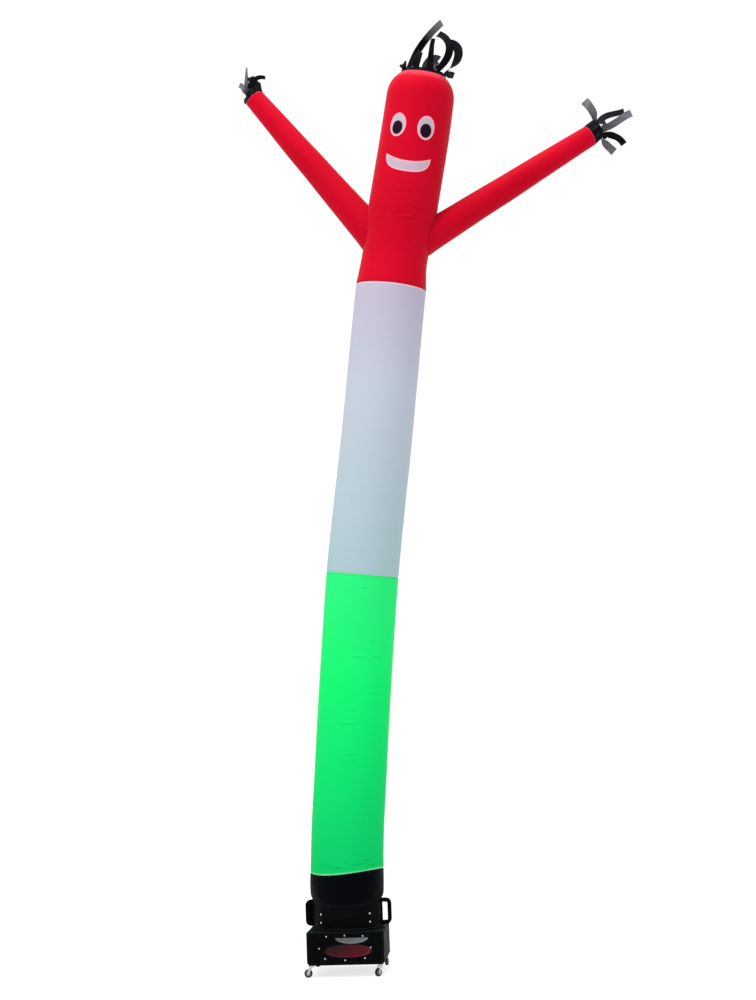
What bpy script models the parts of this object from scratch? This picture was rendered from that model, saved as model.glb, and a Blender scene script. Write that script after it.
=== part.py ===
"""Inflatable air dancer, blown up, standing on its wheeled blower.

Metres, +Z up, -Y to the front, where the face looks. The floor is Z = 0.
Everything is modelled round the blower's upright axis, and the empty that holds it all puts
the origin on the floor below the middle of the whole object's box.
"""

import math
from collections import namedtuple

import bmesh
import bpy
import numpy as np
from mathutils import Matrix, Vector

# ---------------------------------------------------------------- driving sizes

GAP = 0.0003                     # between pieces that touch
CUT = 0.02                       # how far a cutter reaches past what it cuts
BLOWER_PLACE = (-0.747, 0.135)   # the blower's axis, from the middle of the object's box

SIDES = 32                       # sides of the tube and of the blower's drum
CLOTH = 0.0012                   # thickness of the nylon

# The tube's centre line, as the air holds it up: it leans to the right and a little forwards.
SPINE_COLUMNS = ("height", "right", "forward")
SPINE = (
    (0.394, 0.000, 0.000),
    (0.494, 0.000, 0.000),
    (0.614, 0.004, 0.000),
    (0.874, 0.017, 0.004),
    (1.174, 0.043, 0.011),
    (1.574, 0.079, 0.024),
    (2.074, 0.127, 0.050),
    (2.484, 0.172, 0.074),
    (2.884, 0.229, 0.100),
    (3.294, 0.290, 0.126),
    (3.694, 0.345, 0.153),
    (4.104, 0.400, 0.182),
    (4.440, 0.451, 0.204),
    (4.514, 0.466, 0.209),
    (4.874, 0.540, 0.238),
    (5.284, 0.626, 0.284),
    (5.664, 0.698, 0.332),
)

# The tube's outer radius at each height.
GIRTH_COLUMNS = ("height", "radius")
GIRTH = (
    (0.394, 0.2138),
    (0.432, 0.2138),
    (0.450, 0.2180),
    (0.470, 0.2240),
    (0.495, 0.2280),
    (0.520, 0.2302),
    (0.550, 0.2310),
    (0.614, 0.2292),
    (0.764, 0.2278),
    (1.214, 0.2280),
    (2.464, 0.2288),
    (3.214, 0.2262),
    (4.284, 0.2242),
    (4.354, 0.2180),
    (4.414, 0.2125),
    (4.474, 0.2100),
    (4.574, 0.2125),
    (4.774, 0.2215),
    (5.064, 0.2212),
    (5.284, 0.2205),
    (5.464, 0.2180),
)

SEAM_SLEEVE = 0.618              # black sleeve to green
SEAM_SLEEVE_RISE = 0.0153        # how much higher its right side is than its middle
SEAM_SLEEVE_BEND, SEAM_SLEEVE_SKEW = 0.0034, -0.0075     # its two waves round the tube
SEAM_GREEN = 2.464               # green to white
SEAM_WHITE = 4.282               # white to red

HEM_FRONT = 0.413                # the sleeve's hem, in front
HEM_SIDE = 0.450                 # and over the handles
GATHERS = 8                      # gathers round the sleeve, drawn in by its elastic hem
GATHER_DEPTH = 0.0028
GATHER_HEIGHT = 0.480            # where they are deepest, over the hem's grip on the drum
GATHER_REACH = 0.045

SHOULDER = 5.464                 # where the head starts to round in
SHOULDER_ROUND = 2.8             # 1 is a cone, more is a squarer shoulder
HEAD_RIM = 5.629                 # the open top's rim
HEAD_RIM_RADIUS = 0.146

# Heights of the rows of points in each length, from its lower edge to its upper one.
SLEEVE_ROWS = (0.452, 0.468, 0.484, 0.502, 0.524, 0.548, 0.580)
GREEN_ROWS = (0.68, 0.82, 1.07, 1.41, 1.76, 2.11)
WHITE_ROWS = (2.75, 3.05, 3.35, 3.67, 3.99)
RED_LOW_ROWS = (4.32, 4.37, 4.42, 4.48, 4.56)
RED_HIGH_ROWS = (4.94, 5.10, 5.24, 5.36, SHOULDER)
SHOULDER_SHARES = (0.18, 0.36, 0.54, 0.70, 0.85, 1.0)
CREASE_ROW_APART = 0.011

# Creases pressed into the red length between the arms.
CREASE_COLUMNS = ("height", "azimuth", "half_turn", "depth", "half_height")
CREASES = (
    (4.804, -74, 32, 0.0045, 0.014),
    (4.768, -100, 26, 0.0035, 0.012),
    (4.720, -66, 36, 0.0050, 0.014),
    (4.720, 170, 30, 0.0045, 0.014),
    (4.672, -54, 28, 0.0040, 0.012),
    (4.672, 100, 40, 0.0035, 0.012),
)

# Arms: where the axis leaves the tube's middle, the open end, and the radii.
ARM_COLUMNS = ("name", "root", "tip", "root_radius", "tip_radius")
ARMS = (
    ("left", (0.405, -0.212, 4.529), (-0.433, -0.120, 5.628), 0.1135, 0.0672),
    ("right", (0.560, -0.222, 4.530), (1.747, 0.010, 5.281), 0.1035, 0.0690),
)
ARM_SIDES = 18
ARM_STATIONS = (0.0, 0.16, 0.32, 0.48, 0.64, 0.80, 0.92, 1.0)
ARM_BORE_STATIONS = (0.05, 0.16, 0.32, 0.48)

Ribbon = namedtuple(
    "Ribbon", "slot length tip_width lean_root lean_middle lean_tip back_root back_tip facing",
)

# Each ribbon grows out of one slot of its band: slot 0 starts at the band's right-hand side,
# and they are counted anticlockwise from above. Lean is from upright towards the right, back is
# away from the front, and facing is the strip's turn about its length, 0 being flat to the
# front. All in degrees.
HAIR_SLOTS = 18
HAIR = (
    Ribbon(11, 0.365, 0.038, 24, 37, 52, 8, -3, 20),
    Ribbon(12, 0.100, 0.034, 18, 22, 24, -10, -10, 10),
    Ribbon(14, 0.205, 0.026, 3, 8, 13, 4, 4, 30),
    Ribbon(15, 0.310, 0.044, 54, 9, -74, -4, 12, 25),
    Ribbon(17, 0.278, 0.052, 48, 20, -93, -2, 8, -5),
    Ribbon(0, 0.062, 0.040, 62, 95, 122, -6, 0, 20),
    Ribbon(10, 0.038, 0.010, -48, -62, -72, 0, 0, -30),
    Ribbon(8, 0.072, 0.012, 8, 16, 18, 4, 4, 30),
    Ribbon(5, 0.160, 0.036, -8, -4, 4, 6, 6, 10),
    Ribbon(4, 0.205, 0.034, -2, 30, 130, 4, 0, 10),
    Ribbon(3, 0.150, 0.040, 3, 12, 40, 14, 22, 30),
)
HAND_SLOTS = 9
HAND_LEFT = (
    Ribbon(6, 0.148, 0.022, 2, 66, 122, -26, -10, 10),
    Ribbon(7, 0.065, 0.046, -28, -30, -30, -3, -3, 0),
    Ribbon(5, 0.168, 0.010, -2, 2, 5, -8, -10, 0),
    Ribbon(4, 0.098, 0.034, -14, -22, -72, -4, -6, 0),
    Ribbon(0, 0.052, 0.028, -22, -40, -52, 0, 0, 20),
    Ribbon(3, 0.062, 0.012, -66, -140, -222, 24, 10, 20),
    Ribbon(2, 0.090, 0.024, -30, -24, -12, 8, 10, 50),
)
HAND_RIGHT = (
    Ribbon(5, 0.156, 0.060, 6, -27, -38, 0, 0, 0),
    Ribbon(6, 0.190, 0.034, 22, 77, 66, -4, 2, 20),
    Ribbon(7, 0.214, 0.050, 84, 61, 70, -12, -4, 0),
    Ribbon(8, 0.158, 0.044, 94, 117, 156, 6, 2, 0),
    Ribbon(1, 0.148, 0.054, 142, 138, 128, 20, 12, 0),
    Ribbon(3, 0.104, 0.024, 50, 78, 190, 6, 0, 30),
    Ribbon(0, 0.030, 0.018, 100, 110, 120, -8, -8, 0),
)
RIBBON_STEPS = 8
RIBBON_THICK = 0.0014
RIBBON_TURNED_BY = 0.55          # the share of its length by which a ribbon has turned to its facing
BAND_THICK = 0.0026
HAIR_BAND = 0.022                # how far the band stands out of the head
HAND_BAND = 0.062
HAIR_BAND_TAPER = 0.006
HAND_BAND_TAPER = 0.004
HAND_BAND_SWING = {"left": (0.030, 0.0, 0.004), "right": (0.006, 0.0, 0.016)}   # its far edge's shift

# Face, on the front of the head: all heights are along the head's own axis.
FACE_THICK = 0.0010
FACE_LIFT = 0.0007               # off the round wall, so the flat sides clear it
PUPIL_LIFT = FACE_LIFT + FACE_THICK + 0.00045
FACE_ROWS = 2
EYE_COLUMNS, PUPIL_COLUMNS, MOUTH_COLUMNS = 10, 8, 20
EYE_HEIGHT = 5.268
EYE_APART_DEG = 24.3
EYE_HALF_WIDTH_DEG = 14.6
EYE_HALF_HEIGHT = 0.0735
PUPIL_HALF_WIDTH_DEG = 9.4
PUPIL_HALF_HEIGHT = 0.0430
PUPIL_DROP = 0.018
FACE_AZIMUTH = -92.5
MOUTH_AZIMUTH = -90.7
MOUTH_HALF_WIDTH_DEG = 39.5
MOUTH_CORNER_HEIGHT = 5.088
MOUTH_TOP_SAG = 0.037
MOUTH_DEPTH = 0.104
MOUTH_FULLNESS = 2.5             # 2 is an ellipse, more is squarer ends

# Blower: a square moulded base, a drum on it, handles and casters.
BASE_HALF = 0.240
BASE_CORNER = 0.036
BASE_LOW, BASE_HIGH = 0.072, 0.270
BASE_WALL = 0.008
BASE_BEVEL = 0.010               # its lower edge slopes in by this
BASE_BEVEL_RISE = 0.014
BASE_TOP_BEVEL = 0.006
INTAKE_RADIUS = 0.165            # in the underside
DRUM_RADIUS = 0.2120
DRUM_WALL = 0.006
DRUM_HIGH = 0.486
DRUM_FLANGE_RADIUS = 0.2260
DRUM_FLANGE_HIGH = 0.012
DRUM_FLANGE_CHAMFER = 0.004
HANDLE_OUT = {"left": 0.264, "right": 0.274}   # the grip's outer side, from the axis
HANDLE_LOW, HANDLE_HIGH = 0.284, 0.444
HANDLE_DEEP = 0.030
HANDLE_GRIP = 0.024
HANDLE_FOOT = 0.006
HANDLE_BAR = 0.024
HANDLE_CORNER = 0.032
HANDLE_WEB = 0.004               # closes the left handle's slot behind

PLATE_HALF_WIDE, PLATE_HALF_HIGH = 0.178, 0.087
PLATE_HEIGHT = 0.1745
PLATE_THICK = 0.003
PLATE_SQUARENESS = 4.0
PLATE_CHAMFER = 0.0012
PLATE_POINTS = 32
STICKER_THICK = 0.0006
STICKER_TOP_RIGHT = 0.043        # from the plate's middle
STICKER_TOP_HALF_WIDE = 0.1020   # a half oval, its straight side up
STICKER_TOP_LOW, STICKER_TOP_HIGH = 0.0255, 0.0605   # from the plate's middle
STICKER_TOP_STEPS = 8
STICKER_BOTTOM_RIGHT = 0.020
STICKER_BOTTOM_HALF_WIDE, STICKER_BOTTOM_HALF_HIGH = 0.146, 0.039
STICKER_BOTTOM_DROP = 0.017
STICKER_BOTTOM_SQUARENESS = 2.2
STICKER_BOTTOM_POINTS = 20
SCREW_RADIUS = 0.0052
SCREW_HIGH = 0.0030
SCREW_SIDES = 8
SCREW_EDGE_SHARE = 0.4           # of its height, where its dome starts
SCREW_TOP_SHARE = 0.6            # of its radius, where its dome ends
PLATE_SCREWS = (                 # right of and above the plate's middle
    (0.158, 0.0), (0.112, 0.0700), (0.0, 0.0745), (-0.112, 0.0700),
    (-0.158, 0.0), (-0.122, -0.0620), (0.0, -0.0720), (0.122, -0.0620),
)
PLATE_SCREWS_ON_STICKER = (1,)   # numbers of those that stand on the lower sticker
DRUM_BOLT_HEIGHTS = (0.317, 0.367)
DRUM_BOLT_AZIMUTHS = (-135, -45, 45, 135)
DRUM_BOLT_RADIUS = 0.0075
DRUM_BOLT_HIGH = 0.0045

CASTER_STEM = 0.212              # from the axis to each stem, in X and in Y
CASTER_COLUMNS = ("name", "side_x", "side_y", "trail_deg")
CASTERS = (
    ("front_left", -1, -1, 180),
    ("front_right", 1, -1, 228),
    ("rear_left", -1, 1, 140),
    ("rear_right", 1, 1, 80),
)
WHEEL_RADIUS = 0.0250
WHEEL_WIDTH = 0.018
WHEEL_SIDES = 24
CASTER_TRAIL = 0.019
AXLE_RADIUS = 0.0030
CASTER_PLATE_RADIUS = 0.018
CASTER_PLATE_THICK = 0.004
PIN_RADIUS = 0.0045
PIN_HEAD_RADIUS = 0.0080
PIN_HEAD_THICK = 0.003
FORK_TOP_THICK = 0.005
FORK_TOP_RADIUS = 0.0165
FORK_LEG = 0.0025
FORK_LEG_REACH = (-0.006, 0.012)     # its top edge, from the stem along the trail
FORK_LEG_LAP = 0.002                 # how far it goes up into the fork's top
FORK_EYE = 0.0075                    # round its end at the axle
FORK_EYE_START, FORK_EYE_STEP, FORK_EYE_POINTS = 30, -52, 5
AXLE_STUB = 0.001
AXLE_SIDES = 12
CASTER_SIDES = 14
WHEEL_CHAMFER = 0.004
RUNNING_GAP = 0.0005

COLOURS = {
    # name: (red, green, blue), roughness, metallic
    "red_nylon": ((0.72, 0.006, 0.022), 0.55, 0.0),
    "green_nylon": ((0.010, 0.78, 0.16), 0.55, 0.0),
    "white_nylon": ((0.62, 0.66, 0.72), 0.55, 0.0),
    "black_nylon": ((0.006, 0.007, 0.009), 0.60, 0.0),
    "moulded_plastic": ((0.006, 0.007, 0.009), 0.42, 0.0),
    "sticker_grey": ((0.10, 0.11, 0.12), 0.35, 0.0),
    "sticker_red": ((0.10, 0.008, 0.012), 0.35, 0.0),
    "zinc_plate": ((0.62, 0.64, 0.66), 0.28, 1.0),
    "tyre_rubber": ((0.012, 0.012, 0.014), 0.60, 0.0),
}

# ---------------------------------------------------------------- scene and small helpers


def clear_scene():
    for item in list(bpy.data.objects):
        bpy.data.objects.remove(item, do_unlink=True)


def make_materials():
    made = {}
    for name, (colour, roughness, metallic) in COLOURS.items():
        material = bpy.data.materials.new(name)
        material.use_nodes = True
        shader = material.node_tree.nodes["Principled BSDF"]
        shader.inputs["Base Color"].default_value = (*colour, 1.0)
        shader.inputs["Roughness"].default_value = roughness
        shader.inputs["Metallic"].default_value = metallic
        made[name] = material
    return made


def new_object(name, verts, faces, material, smooth_deg=35.0):
    mesh = bpy.data.meshes.new(name)
    mesh.from_pydata([tuple(v) for v in verts], [], faces)
    mesh.validate()
    build = bmesh.new()
    build.from_mesh(mesh)
    bmesh.ops.recalc_face_normals(build, faces=build.faces)
    build.to_mesh(mesh)
    build.free()
    mesh.shade_smooth()
    mesh.set_sharp_from_angle(angle=math.radians(smooth_deg))
    item = bpy.data.objects.new(name, mesh)
    item.data.materials.append(material)
    bpy.context.scene.collection.objects.link(item)
    item.parent = OBJECT_ROOT
    return item


def hide_helper(item):
    item.hide_render = True
    item.display_type = "WIRE"


def add_boolean(target, cutter, operation):
    modifier = target.modifiers.new(f"{operation.lower()}_{cutter.name}", "BOOLEAN")
    modifier.operation = operation
    modifier.solver = "EXACT"
    modifier.object = cutter
    hide_helper(cutter)


def ring_faces(rings, count, closed_ends=False, closed_loop=False):
    """Quads between rings of `count` points each, numbered one ring after another."""
    faces = []
    pairs = rings if closed_loop else rings - 1
    for row in range(pairs):
        upper = (row + 1) % rings
        for k in range(count):
            nxt = (k + 1) % count
            faces.append((row * count + k, row * count + nxt, upper * count + nxt, upper * count + k))
    if closed_ends:
        faces.append(tuple(reversed(range(count))))
        faces.append(tuple((rings - 1) * count + k for k in range(count)))
    return faces


def turned(name, profile, material, sides=SIDES, closed_loop=False, start_deg=0.0):
    """A profile of (radius, height) points turned round Z.

    An open profile is capped flat at both ends, a closed one makes a ring.
    """
    verts = []
    for radius, height in profile:
        for k in range(sides):
            angle = math.radians(start_deg) + math.tau * k / sides
            verts.append((radius * math.cos(angle), radius * math.sin(angle), height))
    faces = ring_faces(len(profile), sides, closed_ends=not closed_loop, closed_loop=closed_loop)
    return new_object(name, verts, faces, material)


def stacked(name, outlines, material):
    """A closed solid through outlines of equal length, each a list of 3-D points."""
    verts = [p for outline in outlines for p in outline]
    return new_object(name, verts, ring_faces(len(outlines), len(outlines[0]), closed_ends=True), material)


def rounded_rectangle(half_wide, half_high, corner, steps=4):
    """Points of a rounded rectangle about (0, 0), anticlockwise."""
    points = []
    for quarter, (sx, sy) in enumerate(((1, 1), (-1, 1), (-1, -1), (1, -1))):
        centre = (sx * (half_wide - corner), sy * (half_high - corner))
        for step in range(steps + 1):
            angle = math.radians(90.0 * (quarter + step / steps))
            points.append((centre[0] + corner * math.cos(angle), centre[1] + corner * math.sin(angle)))
    return points


def superellipse(half_wide, half_high, squareness, count):
    points = []
    for k in range(count):
        c, s = math.cos(math.tau * k / count), math.sin(math.tau * k / count)
        points.append((
            math.copysign(half_wide * abs(c) ** (2.0 / squareness), c),
            math.copysign(half_high * abs(s) ** (2.0 / squareness), s),
        ))
    return points


def in_triangles(faces):
    """Each four-sided face as two triangles, for skins whose corners don't lie in one plane."""
    halves = []
    for face in faces:
        halves += [face[:3], (face[0], *face[2:])] if len(face) == 4 else [face]
    return halves


# ---------------------------------------------------------------- the tube's surface


def smooth_column(table, columns, name):
    """A smooth curve through one column of a table, which never overshoots its rows."""
    height = np.array([row[columns.index("height")] for row in table])
    value = np.array([row[columns.index(name)] for row in table])
    rise = np.diff(value) / np.diff(height)
    slope = np.concatenate(([rise[0]], np.zeros(len(rise) - 1), [rise[-1]]))
    for i in range(1, len(rise)):
        if rise[i - 1] * rise[i] > 0:
            slope[i] = 2 * rise[i - 1] * rise[i] / (rise[i - 1] + rise[i])

    def at(h):
        i = int(np.clip(np.searchsorted(height, h) - 1, 0, len(height) - 2))
        span = height[i + 1] - height[i]
        u = float(np.clip((h - height[i]) / span, 0.0, 1.0))
        past = h - min(max(h, height[0]), height[-1])
        curve = (
            value[i] * (1 + 2 * u) * (1 - u) ** 2
            + slope[i] * span * u * (1 - u) ** 2
            + value[i + 1] * u * u * (3 - 2 * u)
            + slope[i + 1] * span * u * u * (u - 1)
        )
        return curve + past * slope[i + 1 if past > 0 else i]

    return at


spine_right = smooth_column(SPINE, SPINE_COLUMNS, "right")
spine_forward = smooth_column(SPINE, SPINE_COLUMNS, "forward")
girth = smooth_column(GIRTH, GIRTH_COLUMNS, "radius")


def spine_point(height):
    return Vector((spine_right(height), -spine_forward(height), height))


def spine_frame(height):
    """Centre, direction along the tube, and the two directions across it: right and back."""
    step = 0.02
    along = (spine_point(height + step) - spine_point(height - step)).normalized()
    right = (Vector((1, 0, 0)) - along * along.x).normalized()
    back = along.cross(right)
    return spine_point(height), along, right, back


def fade(distance):
    """1 at 0, smoothly down to 0 at 1 and beyond."""
    d = min(abs(distance), 1.0)
    return 1.0 - d * d * (3.0 - 2.0 * d)


def tube_radius(height, angle):
    if height > SHOULDER:
        rise = (height - SHOULDER) / (HEAD_RIM - SHOULDER)
        shoulder_radius = girth(SHOULDER)
        return shoulder_radius - (shoulder_radius - HEAD_RIM_RADIUS) * rise ** SHOULDER_ROUND
    radius = girth(height)
    radius += GATHER_DEPTH * math.cos(GATHERS * angle) * fade((height - GATHER_HEIGHT) / GATHER_REACH)
    for row in CREASES:
        crease = dict(zip(CREASE_COLUMNS, row))
        turn = math.degrees(angle) - crease["azimuth"]
        turn = (turn + 180.0) % 360.0 - 180.0
        press = fade(turn / crease["half_turn"]) * fade((height - crease["height"]) / crease["half_height"])
        radius -= crease["depth"] * press
    return radius


def tube_skin(height, angle):
    centre, _, right, back = spine_frame(height)
    radius = tube_radius(height, angle)
    return centre + right * (radius * math.cos(angle)) + back * (radius * math.sin(angle))


def tube_wall(height, angle, out=0.0):
    """A point on the tube's outer skin, or `out` away from it along its normal."""
    point = tube_skin(height, angle)
    if not out:
        return point
    turn, step = 0.02, 0.002
    top = min(height + step, HEAD_RIM)
    around = tube_skin(height, angle + turn) - tube_skin(height, angle - turn)
    upward = tube_skin(top, angle) - tube_skin(top - 2 * step, angle)
    return point + around.cross(upward).normalized() * out


def sleeve_seam(angle):
    waves = SEAM_SLEEVE_BEND * math.cos(2 * angle) + SEAM_SLEEVE_SKEW * math.sin(2 * angle)
    return SEAM_SLEEVE + SEAM_SLEEVE_RISE * math.cos(angle) + waves


def sleeve_hem(angle):
    return HEM_FRONT + (HEM_SIDE - HEM_FRONT) * math.cos(angle) ** 4


def sleeve_row_over_hem(angle):
    return (sleeve_hem(angle) + SLEEVE_ROWS[0]) / 2


def cloth_tube(name, levels, material):
    """A length of the tube through levels, each a height or a function of the angle."""
    angles = [math.tau * k / SIDES for k in range(SIDES)]
    outer, inner = [], []
    for level in levels:
        for angle in angles:
            height = level(angle) if callable(level) else level
            outer.append(tube_wall(height, angle))
            inner.append(tube_wall(height, angle, -CLOTH))
    rows = len(levels)
    verts = outer + [inner[row * SIDES + k] for row in reversed(range(rows)) for k in range(SIDES)]
    return new_object(name, verts, ring_faces(2 * rows, SIDES, closed_loop=True), material)


# ---------------------------------------------------------------- cloth pieces


def make_tube(materials):
    half = GAP / 2
    cloth_tube("base_sleeve", (
        sleeve_hem, sleeve_row_over_hem, *SLEEVE_ROWS, lambda a: sleeve_seam(a) - half,
    ), materials["black_nylon"])
    cloth_tube("panel_green", (
        lambda a: sleeve_seam(a) + half, *GREEN_ROWS, SEAM_GREEN - half,
    ), materials["green_nylon"])
    cloth_tube("panel_white", (
        SEAM_GREEN + half, *WHITE_ROWS, SEAM_WHITE - half,
    ), materials["white_nylon"])
    shoulder = [SHOULDER + (HEAD_RIM - SHOULDER) * share for share in SHOULDER_SHARES]
    return cloth_tube("panel_red", (
        SEAM_WHITE + half, *RED_LOW_ROWS, *crease_levels(), *RED_HIGH_ROWS, *shoulder,
    ), materials["red_nylon"])


def crease_levels():
    """Rows of points through each crease and at both its edges, none too near the last."""
    column = CREASE_COLUMNS.index
    wanted = sorted(
        crease[column("height")] + side * crease[column("half_height")]
        for crease in CREASES for side in (-1, 0, 1)
    )
    levels = []
    for height in wanted:
        if not levels or height - levels[-1] > CREASE_ROW_APART:
            levels.append(height)
    return levels


def arm_frame(arm):
    root, tip = Vector(arm["root"]), Vector(arm["tip"])
    along = (tip - root).normalized()
    back = (Vector((0, 1, 0)) - along * along.y).normalized()
    right = back.cross(along)
    return root, tip, along, right, back


def arm_ring(arm, share, radius):
    root, tip, _, right, back = arm_frame(arm)
    centre = root.lerp(tip, share)
    return [
        centre + right * (radius * math.cos(a)) + back * (radius * math.sin(a))
        for a in (math.tau * k / ARM_SIDES for k in range(ARM_SIDES))
    ]


def arm_radius(arm, share):
    return arm["root_radius"] + (arm["tip_radius"] - arm["root_radius"]) * share


def make_arm(arm, red, core, materials):
    rings = [arm_ring(arm, s, arm_radius(arm, s)) for s in ARM_STATIONS]
    rings += [arm_ring(arm, s, arm_radius(arm, s) - CLOTH) for s in reversed(ARM_STATIONS)]
    verts = [p for ring in rings for p in ring]
    sleeve = new_object(
        f"arm_{arm['name']}", verts, ring_faces(len(rings), ARM_SIDES, closed_loop=True),
        materials["red_nylon"],
    )
    add_boolean(sleeve, core, "DIFFERENCE")
    bore = stacked(
        f"bore_{arm['name']}",
        [arm_ring(arm, s, arm_radius(arm, s) - CLOTH) for s in ARM_BORE_STATIONS],
        materials["red_nylon"],
    )
    add_boolean(red, bore, "DIFFERENCE")


def make_core(materials):
    """The space that the red length fills round the arms, a touch larger: they are cut to it."""
    angles = [math.tau * k / SIDES for k in range(SIDES)]
    rings = []
    for height in (SEAM_WHITE, *RED_LOW_ROWS, *crease_levels(), *RED_HIGH_ROWS[:2]):
        centre, _, right, back = spine_frame(height)
        radius = girth(height) + GAP
        rings.append([
            centre + right * (radius * math.cos(a)) + back * (radius * math.sin(a)) for a in angles
        ])
    core = stacked("core", rings, materials["red_nylon"])
    hide_helper(core)
    return core


def face_piece(name, azimuth, half_turn, top, bottom, lift, columns, rows, material):
    """A thin patch on the head between two edges, top(u) and bottom(u), for u from -1 to 1."""
    front, back = [], []
    places = [-math.cos(math.pi * k / columns) for k in range(columns + 1)]
    for u in places:
        angle = math.radians(azimuth + half_turn * u)
        cells = range(rows + 1) if abs(u) < 0.999 else (0,)
        front.append([tube_wall(
            bottom(u) + (top(u) - bottom(u)) * c / rows, angle, lift + FACE_THICK) for c in cells])
        back.append([tube_wall(
            bottom(u) + (top(u) - bottom(u)) * c / rows, angle, lift) for c in cells])
    verts, number = [], {}
    for side, grid in (("front", front), ("back", back)):
        for i, column in enumerate(grid):
            for c, point in enumerate(column):
                number[side, i, c] = len(verts)
                verts.append(point)

    def at(side, i, c):
        return number[side, i, min(c, len(front[i]) - 1)]

    faces = []
    for i in range(columns):
        for c in range(rows):
            for side in ("front", "back"):
                quad = [at(side, i, c), at(side, i + 1, c), at(side, i + 1, c + 1), at(side, i, c + 1)]
                faces.append(tuple(dict.fromkeys(quad)))
        for c in (0, rows):
            quad = [at("front", i, c), at("front", i + 1, c), at("back", i + 1, c), at("back", i, c)]
            faces.append(tuple(dict.fromkeys(quad)))
    return new_object(name, verts, [f for f in faces if len(f) > 2], material)


def make_face(materials):
    def round_edge(middle, half_height, sign):
        return lambda u: middle + sign * half_height * math.sqrt(max(0.0, 1.0 - u * u))

    for name, side in (("left", -1), ("right", 1)):
        azimuth = FACE_AZIMUTH + side * EYE_APART_DEG
        face_piece(
            f"eye_{name}", azimuth, EYE_HALF_WIDTH_DEG,
            round_edge(EYE_HEIGHT, EYE_HALF_HEIGHT, 1), round_edge(EYE_HEIGHT, EYE_HALF_HEIGHT, -1),
            FACE_LIFT, EYE_COLUMNS, FACE_ROWS, materials["white_nylon"],
        )
        pupil_height = EYE_HEIGHT - PUPIL_DROP
        face_piece(
            f"pupil_{name}", azimuth, PUPIL_HALF_WIDTH_DEG,
            round_edge(pupil_height, PUPIL_HALF_HEIGHT, 1), round_edge(pupil_height, PUPIL_HALF_HEIGHT, -1),
            PUPIL_LIFT, PUPIL_COLUMNS, FACE_ROWS, materials["black_nylon"],
        )

    def mouth_bottom(u):
        full = max(0.0, 1.0 - abs(u) ** MOUTH_FULLNESS) ** (1.0 / MOUTH_FULLNESS)
        return MOUTH_CORNER_HEIGHT - MOUTH_DEPTH * full

    def mouth_top(u):
        return MOUTH_CORNER_HEIGHT - MOUTH_TOP_SAG * (1.0 - u * u)

    face_piece(
        "mouth", MOUTH_AZIMUTH, MOUTH_HALF_WIDTH_DEG, mouth_top, mouth_bottom,
        FACE_LIFT, MOUTH_COLUMNS, FACE_ROWS, materials["white_nylon"],
    )


# ---------------------------------------------------------------- ribbons


def ribbon_heading(ribbon, share):
    """Direction along the strip at a share of its length, and across it if it faced the front."""
    first, middle, last = ribbon.lean_root, ribbon.lean_middle, ribbon.lean_tip
    bend = 2.0 * (first + last - 2.0 * middle)
    lean = math.radians(first + (last - first) * share + bend * share * (share - 1.0))
    back = math.radians(ribbon.back_root + (ribbon.back_tip - ribbon.back_root) * share)
    along = Vector((math.sin(lean) * math.cos(back), math.sin(back), math.cos(lean) * math.cos(back)))
    return along, Vector((math.cos(lean), 0.0, -math.sin(lean)))


def ribbon_rings(ribbon, root, tangent, root_width):
    """Sections of four points, from the first one past the band to the tip."""
    along, flat = ribbon_heading(ribbon, 0.0)
    root_turn = math.atan2(tangent.dot(along.cross(flat)), tangent.dot(flat))
    tip_turn = math.radians(ribbon.facing)
    tip_turn += math.pi * round((root_turn - tip_turn) / math.pi)
    rings, point = [], root.copy()
    for step in range(1, RIBBON_STEPS + 1):
        share = step / RIBBON_STEPS
        halfway, _ = ribbon_heading(ribbon, share - 0.5 / RIBBON_STEPS)
        point = point + halfway * (ribbon.length / RIBBON_STEPS)
        along, flat = ribbon_heading(ribbon, share)
        turn = tip_turn + (root_turn - tip_turn) * fade(share / RIBBON_TURNED_BY)
        across = flat * math.cos(turn) + along.cross(flat) * math.sin(turn)
        outward = across.cross(along)
        half_width = 0.5 * (root_width + (ribbon.tip_width - root_width) * share)
        rings.append([
            point + across * (half_width * side) + outward * (RIBBON_THICK / 2 * face)
            for side, face in ((-1, 1), (1, 1), (1, -1), (-1, -1))
        ])
    return rings


def ribbon_band(name, frame, radius, end_radius, end, slots, ribbons, material):
    """A short ring, its far edge round the point `end`, which is drawn out slot by slot into ribbons."""
    centre, along, right, back = frame

    def ring(ring_radius, middle):
        return [
            middle + right * (ring_radius * math.cos(a)) + back * (ring_radius * math.sin(a))
            for a in (math.tau * k / slots for k in range(slots))
        ]

    start = centre + along * GAP
    rings = [
        ring(radius, start), ring(end_radius, end),
        ring(end_radius - BAND_THICK, end), ring(radius - BAND_THICK, start),
    ]
    verts = [p for one in rings for p in one]
    faces = ring_faces(4, slots, closed_loop=True)
    for ribbon in ribbons:
        k, nxt = ribbon.slot, (ribbon.slot + 1) % slots
        mouth = [slots + k, slots + nxt, 2 * slots + nxt, 2 * slots + k]
        faces = [f for f in faces if set(f) != set(mouth)]
        root = sum((verts[v] for v in mouth), Vector()) / 4
        tangent = (verts[mouth[1]] - verts[mouth[0]]).normalized()
        root_width = (verts[mouth[1]] - verts[mouth[0]]).length
        for section in ribbon_rings(ribbon, root, tangent, root_width):
            ahead = list(range(len(verts), len(verts) + 4))
            verts += section
            # Both flat sides are split along the same diagonal, so a twisted strip keeps its thickness.
            for c, d in ((0, 1), (1, 2)):
                faces += [(mouth[c], mouth[d], ahead[d]), (mouth[c], ahead[d], ahead[c])]
            for c, d in ((2, 3), (3, 0)):
                faces += [(mouth[c], mouth[d], ahead[c]), (mouth[d], ahead[d], ahead[c])]
            mouth = ahead
        faces.append(tuple(mouth))
    return new_object(name, verts, in_triangles(faces), material)


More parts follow.
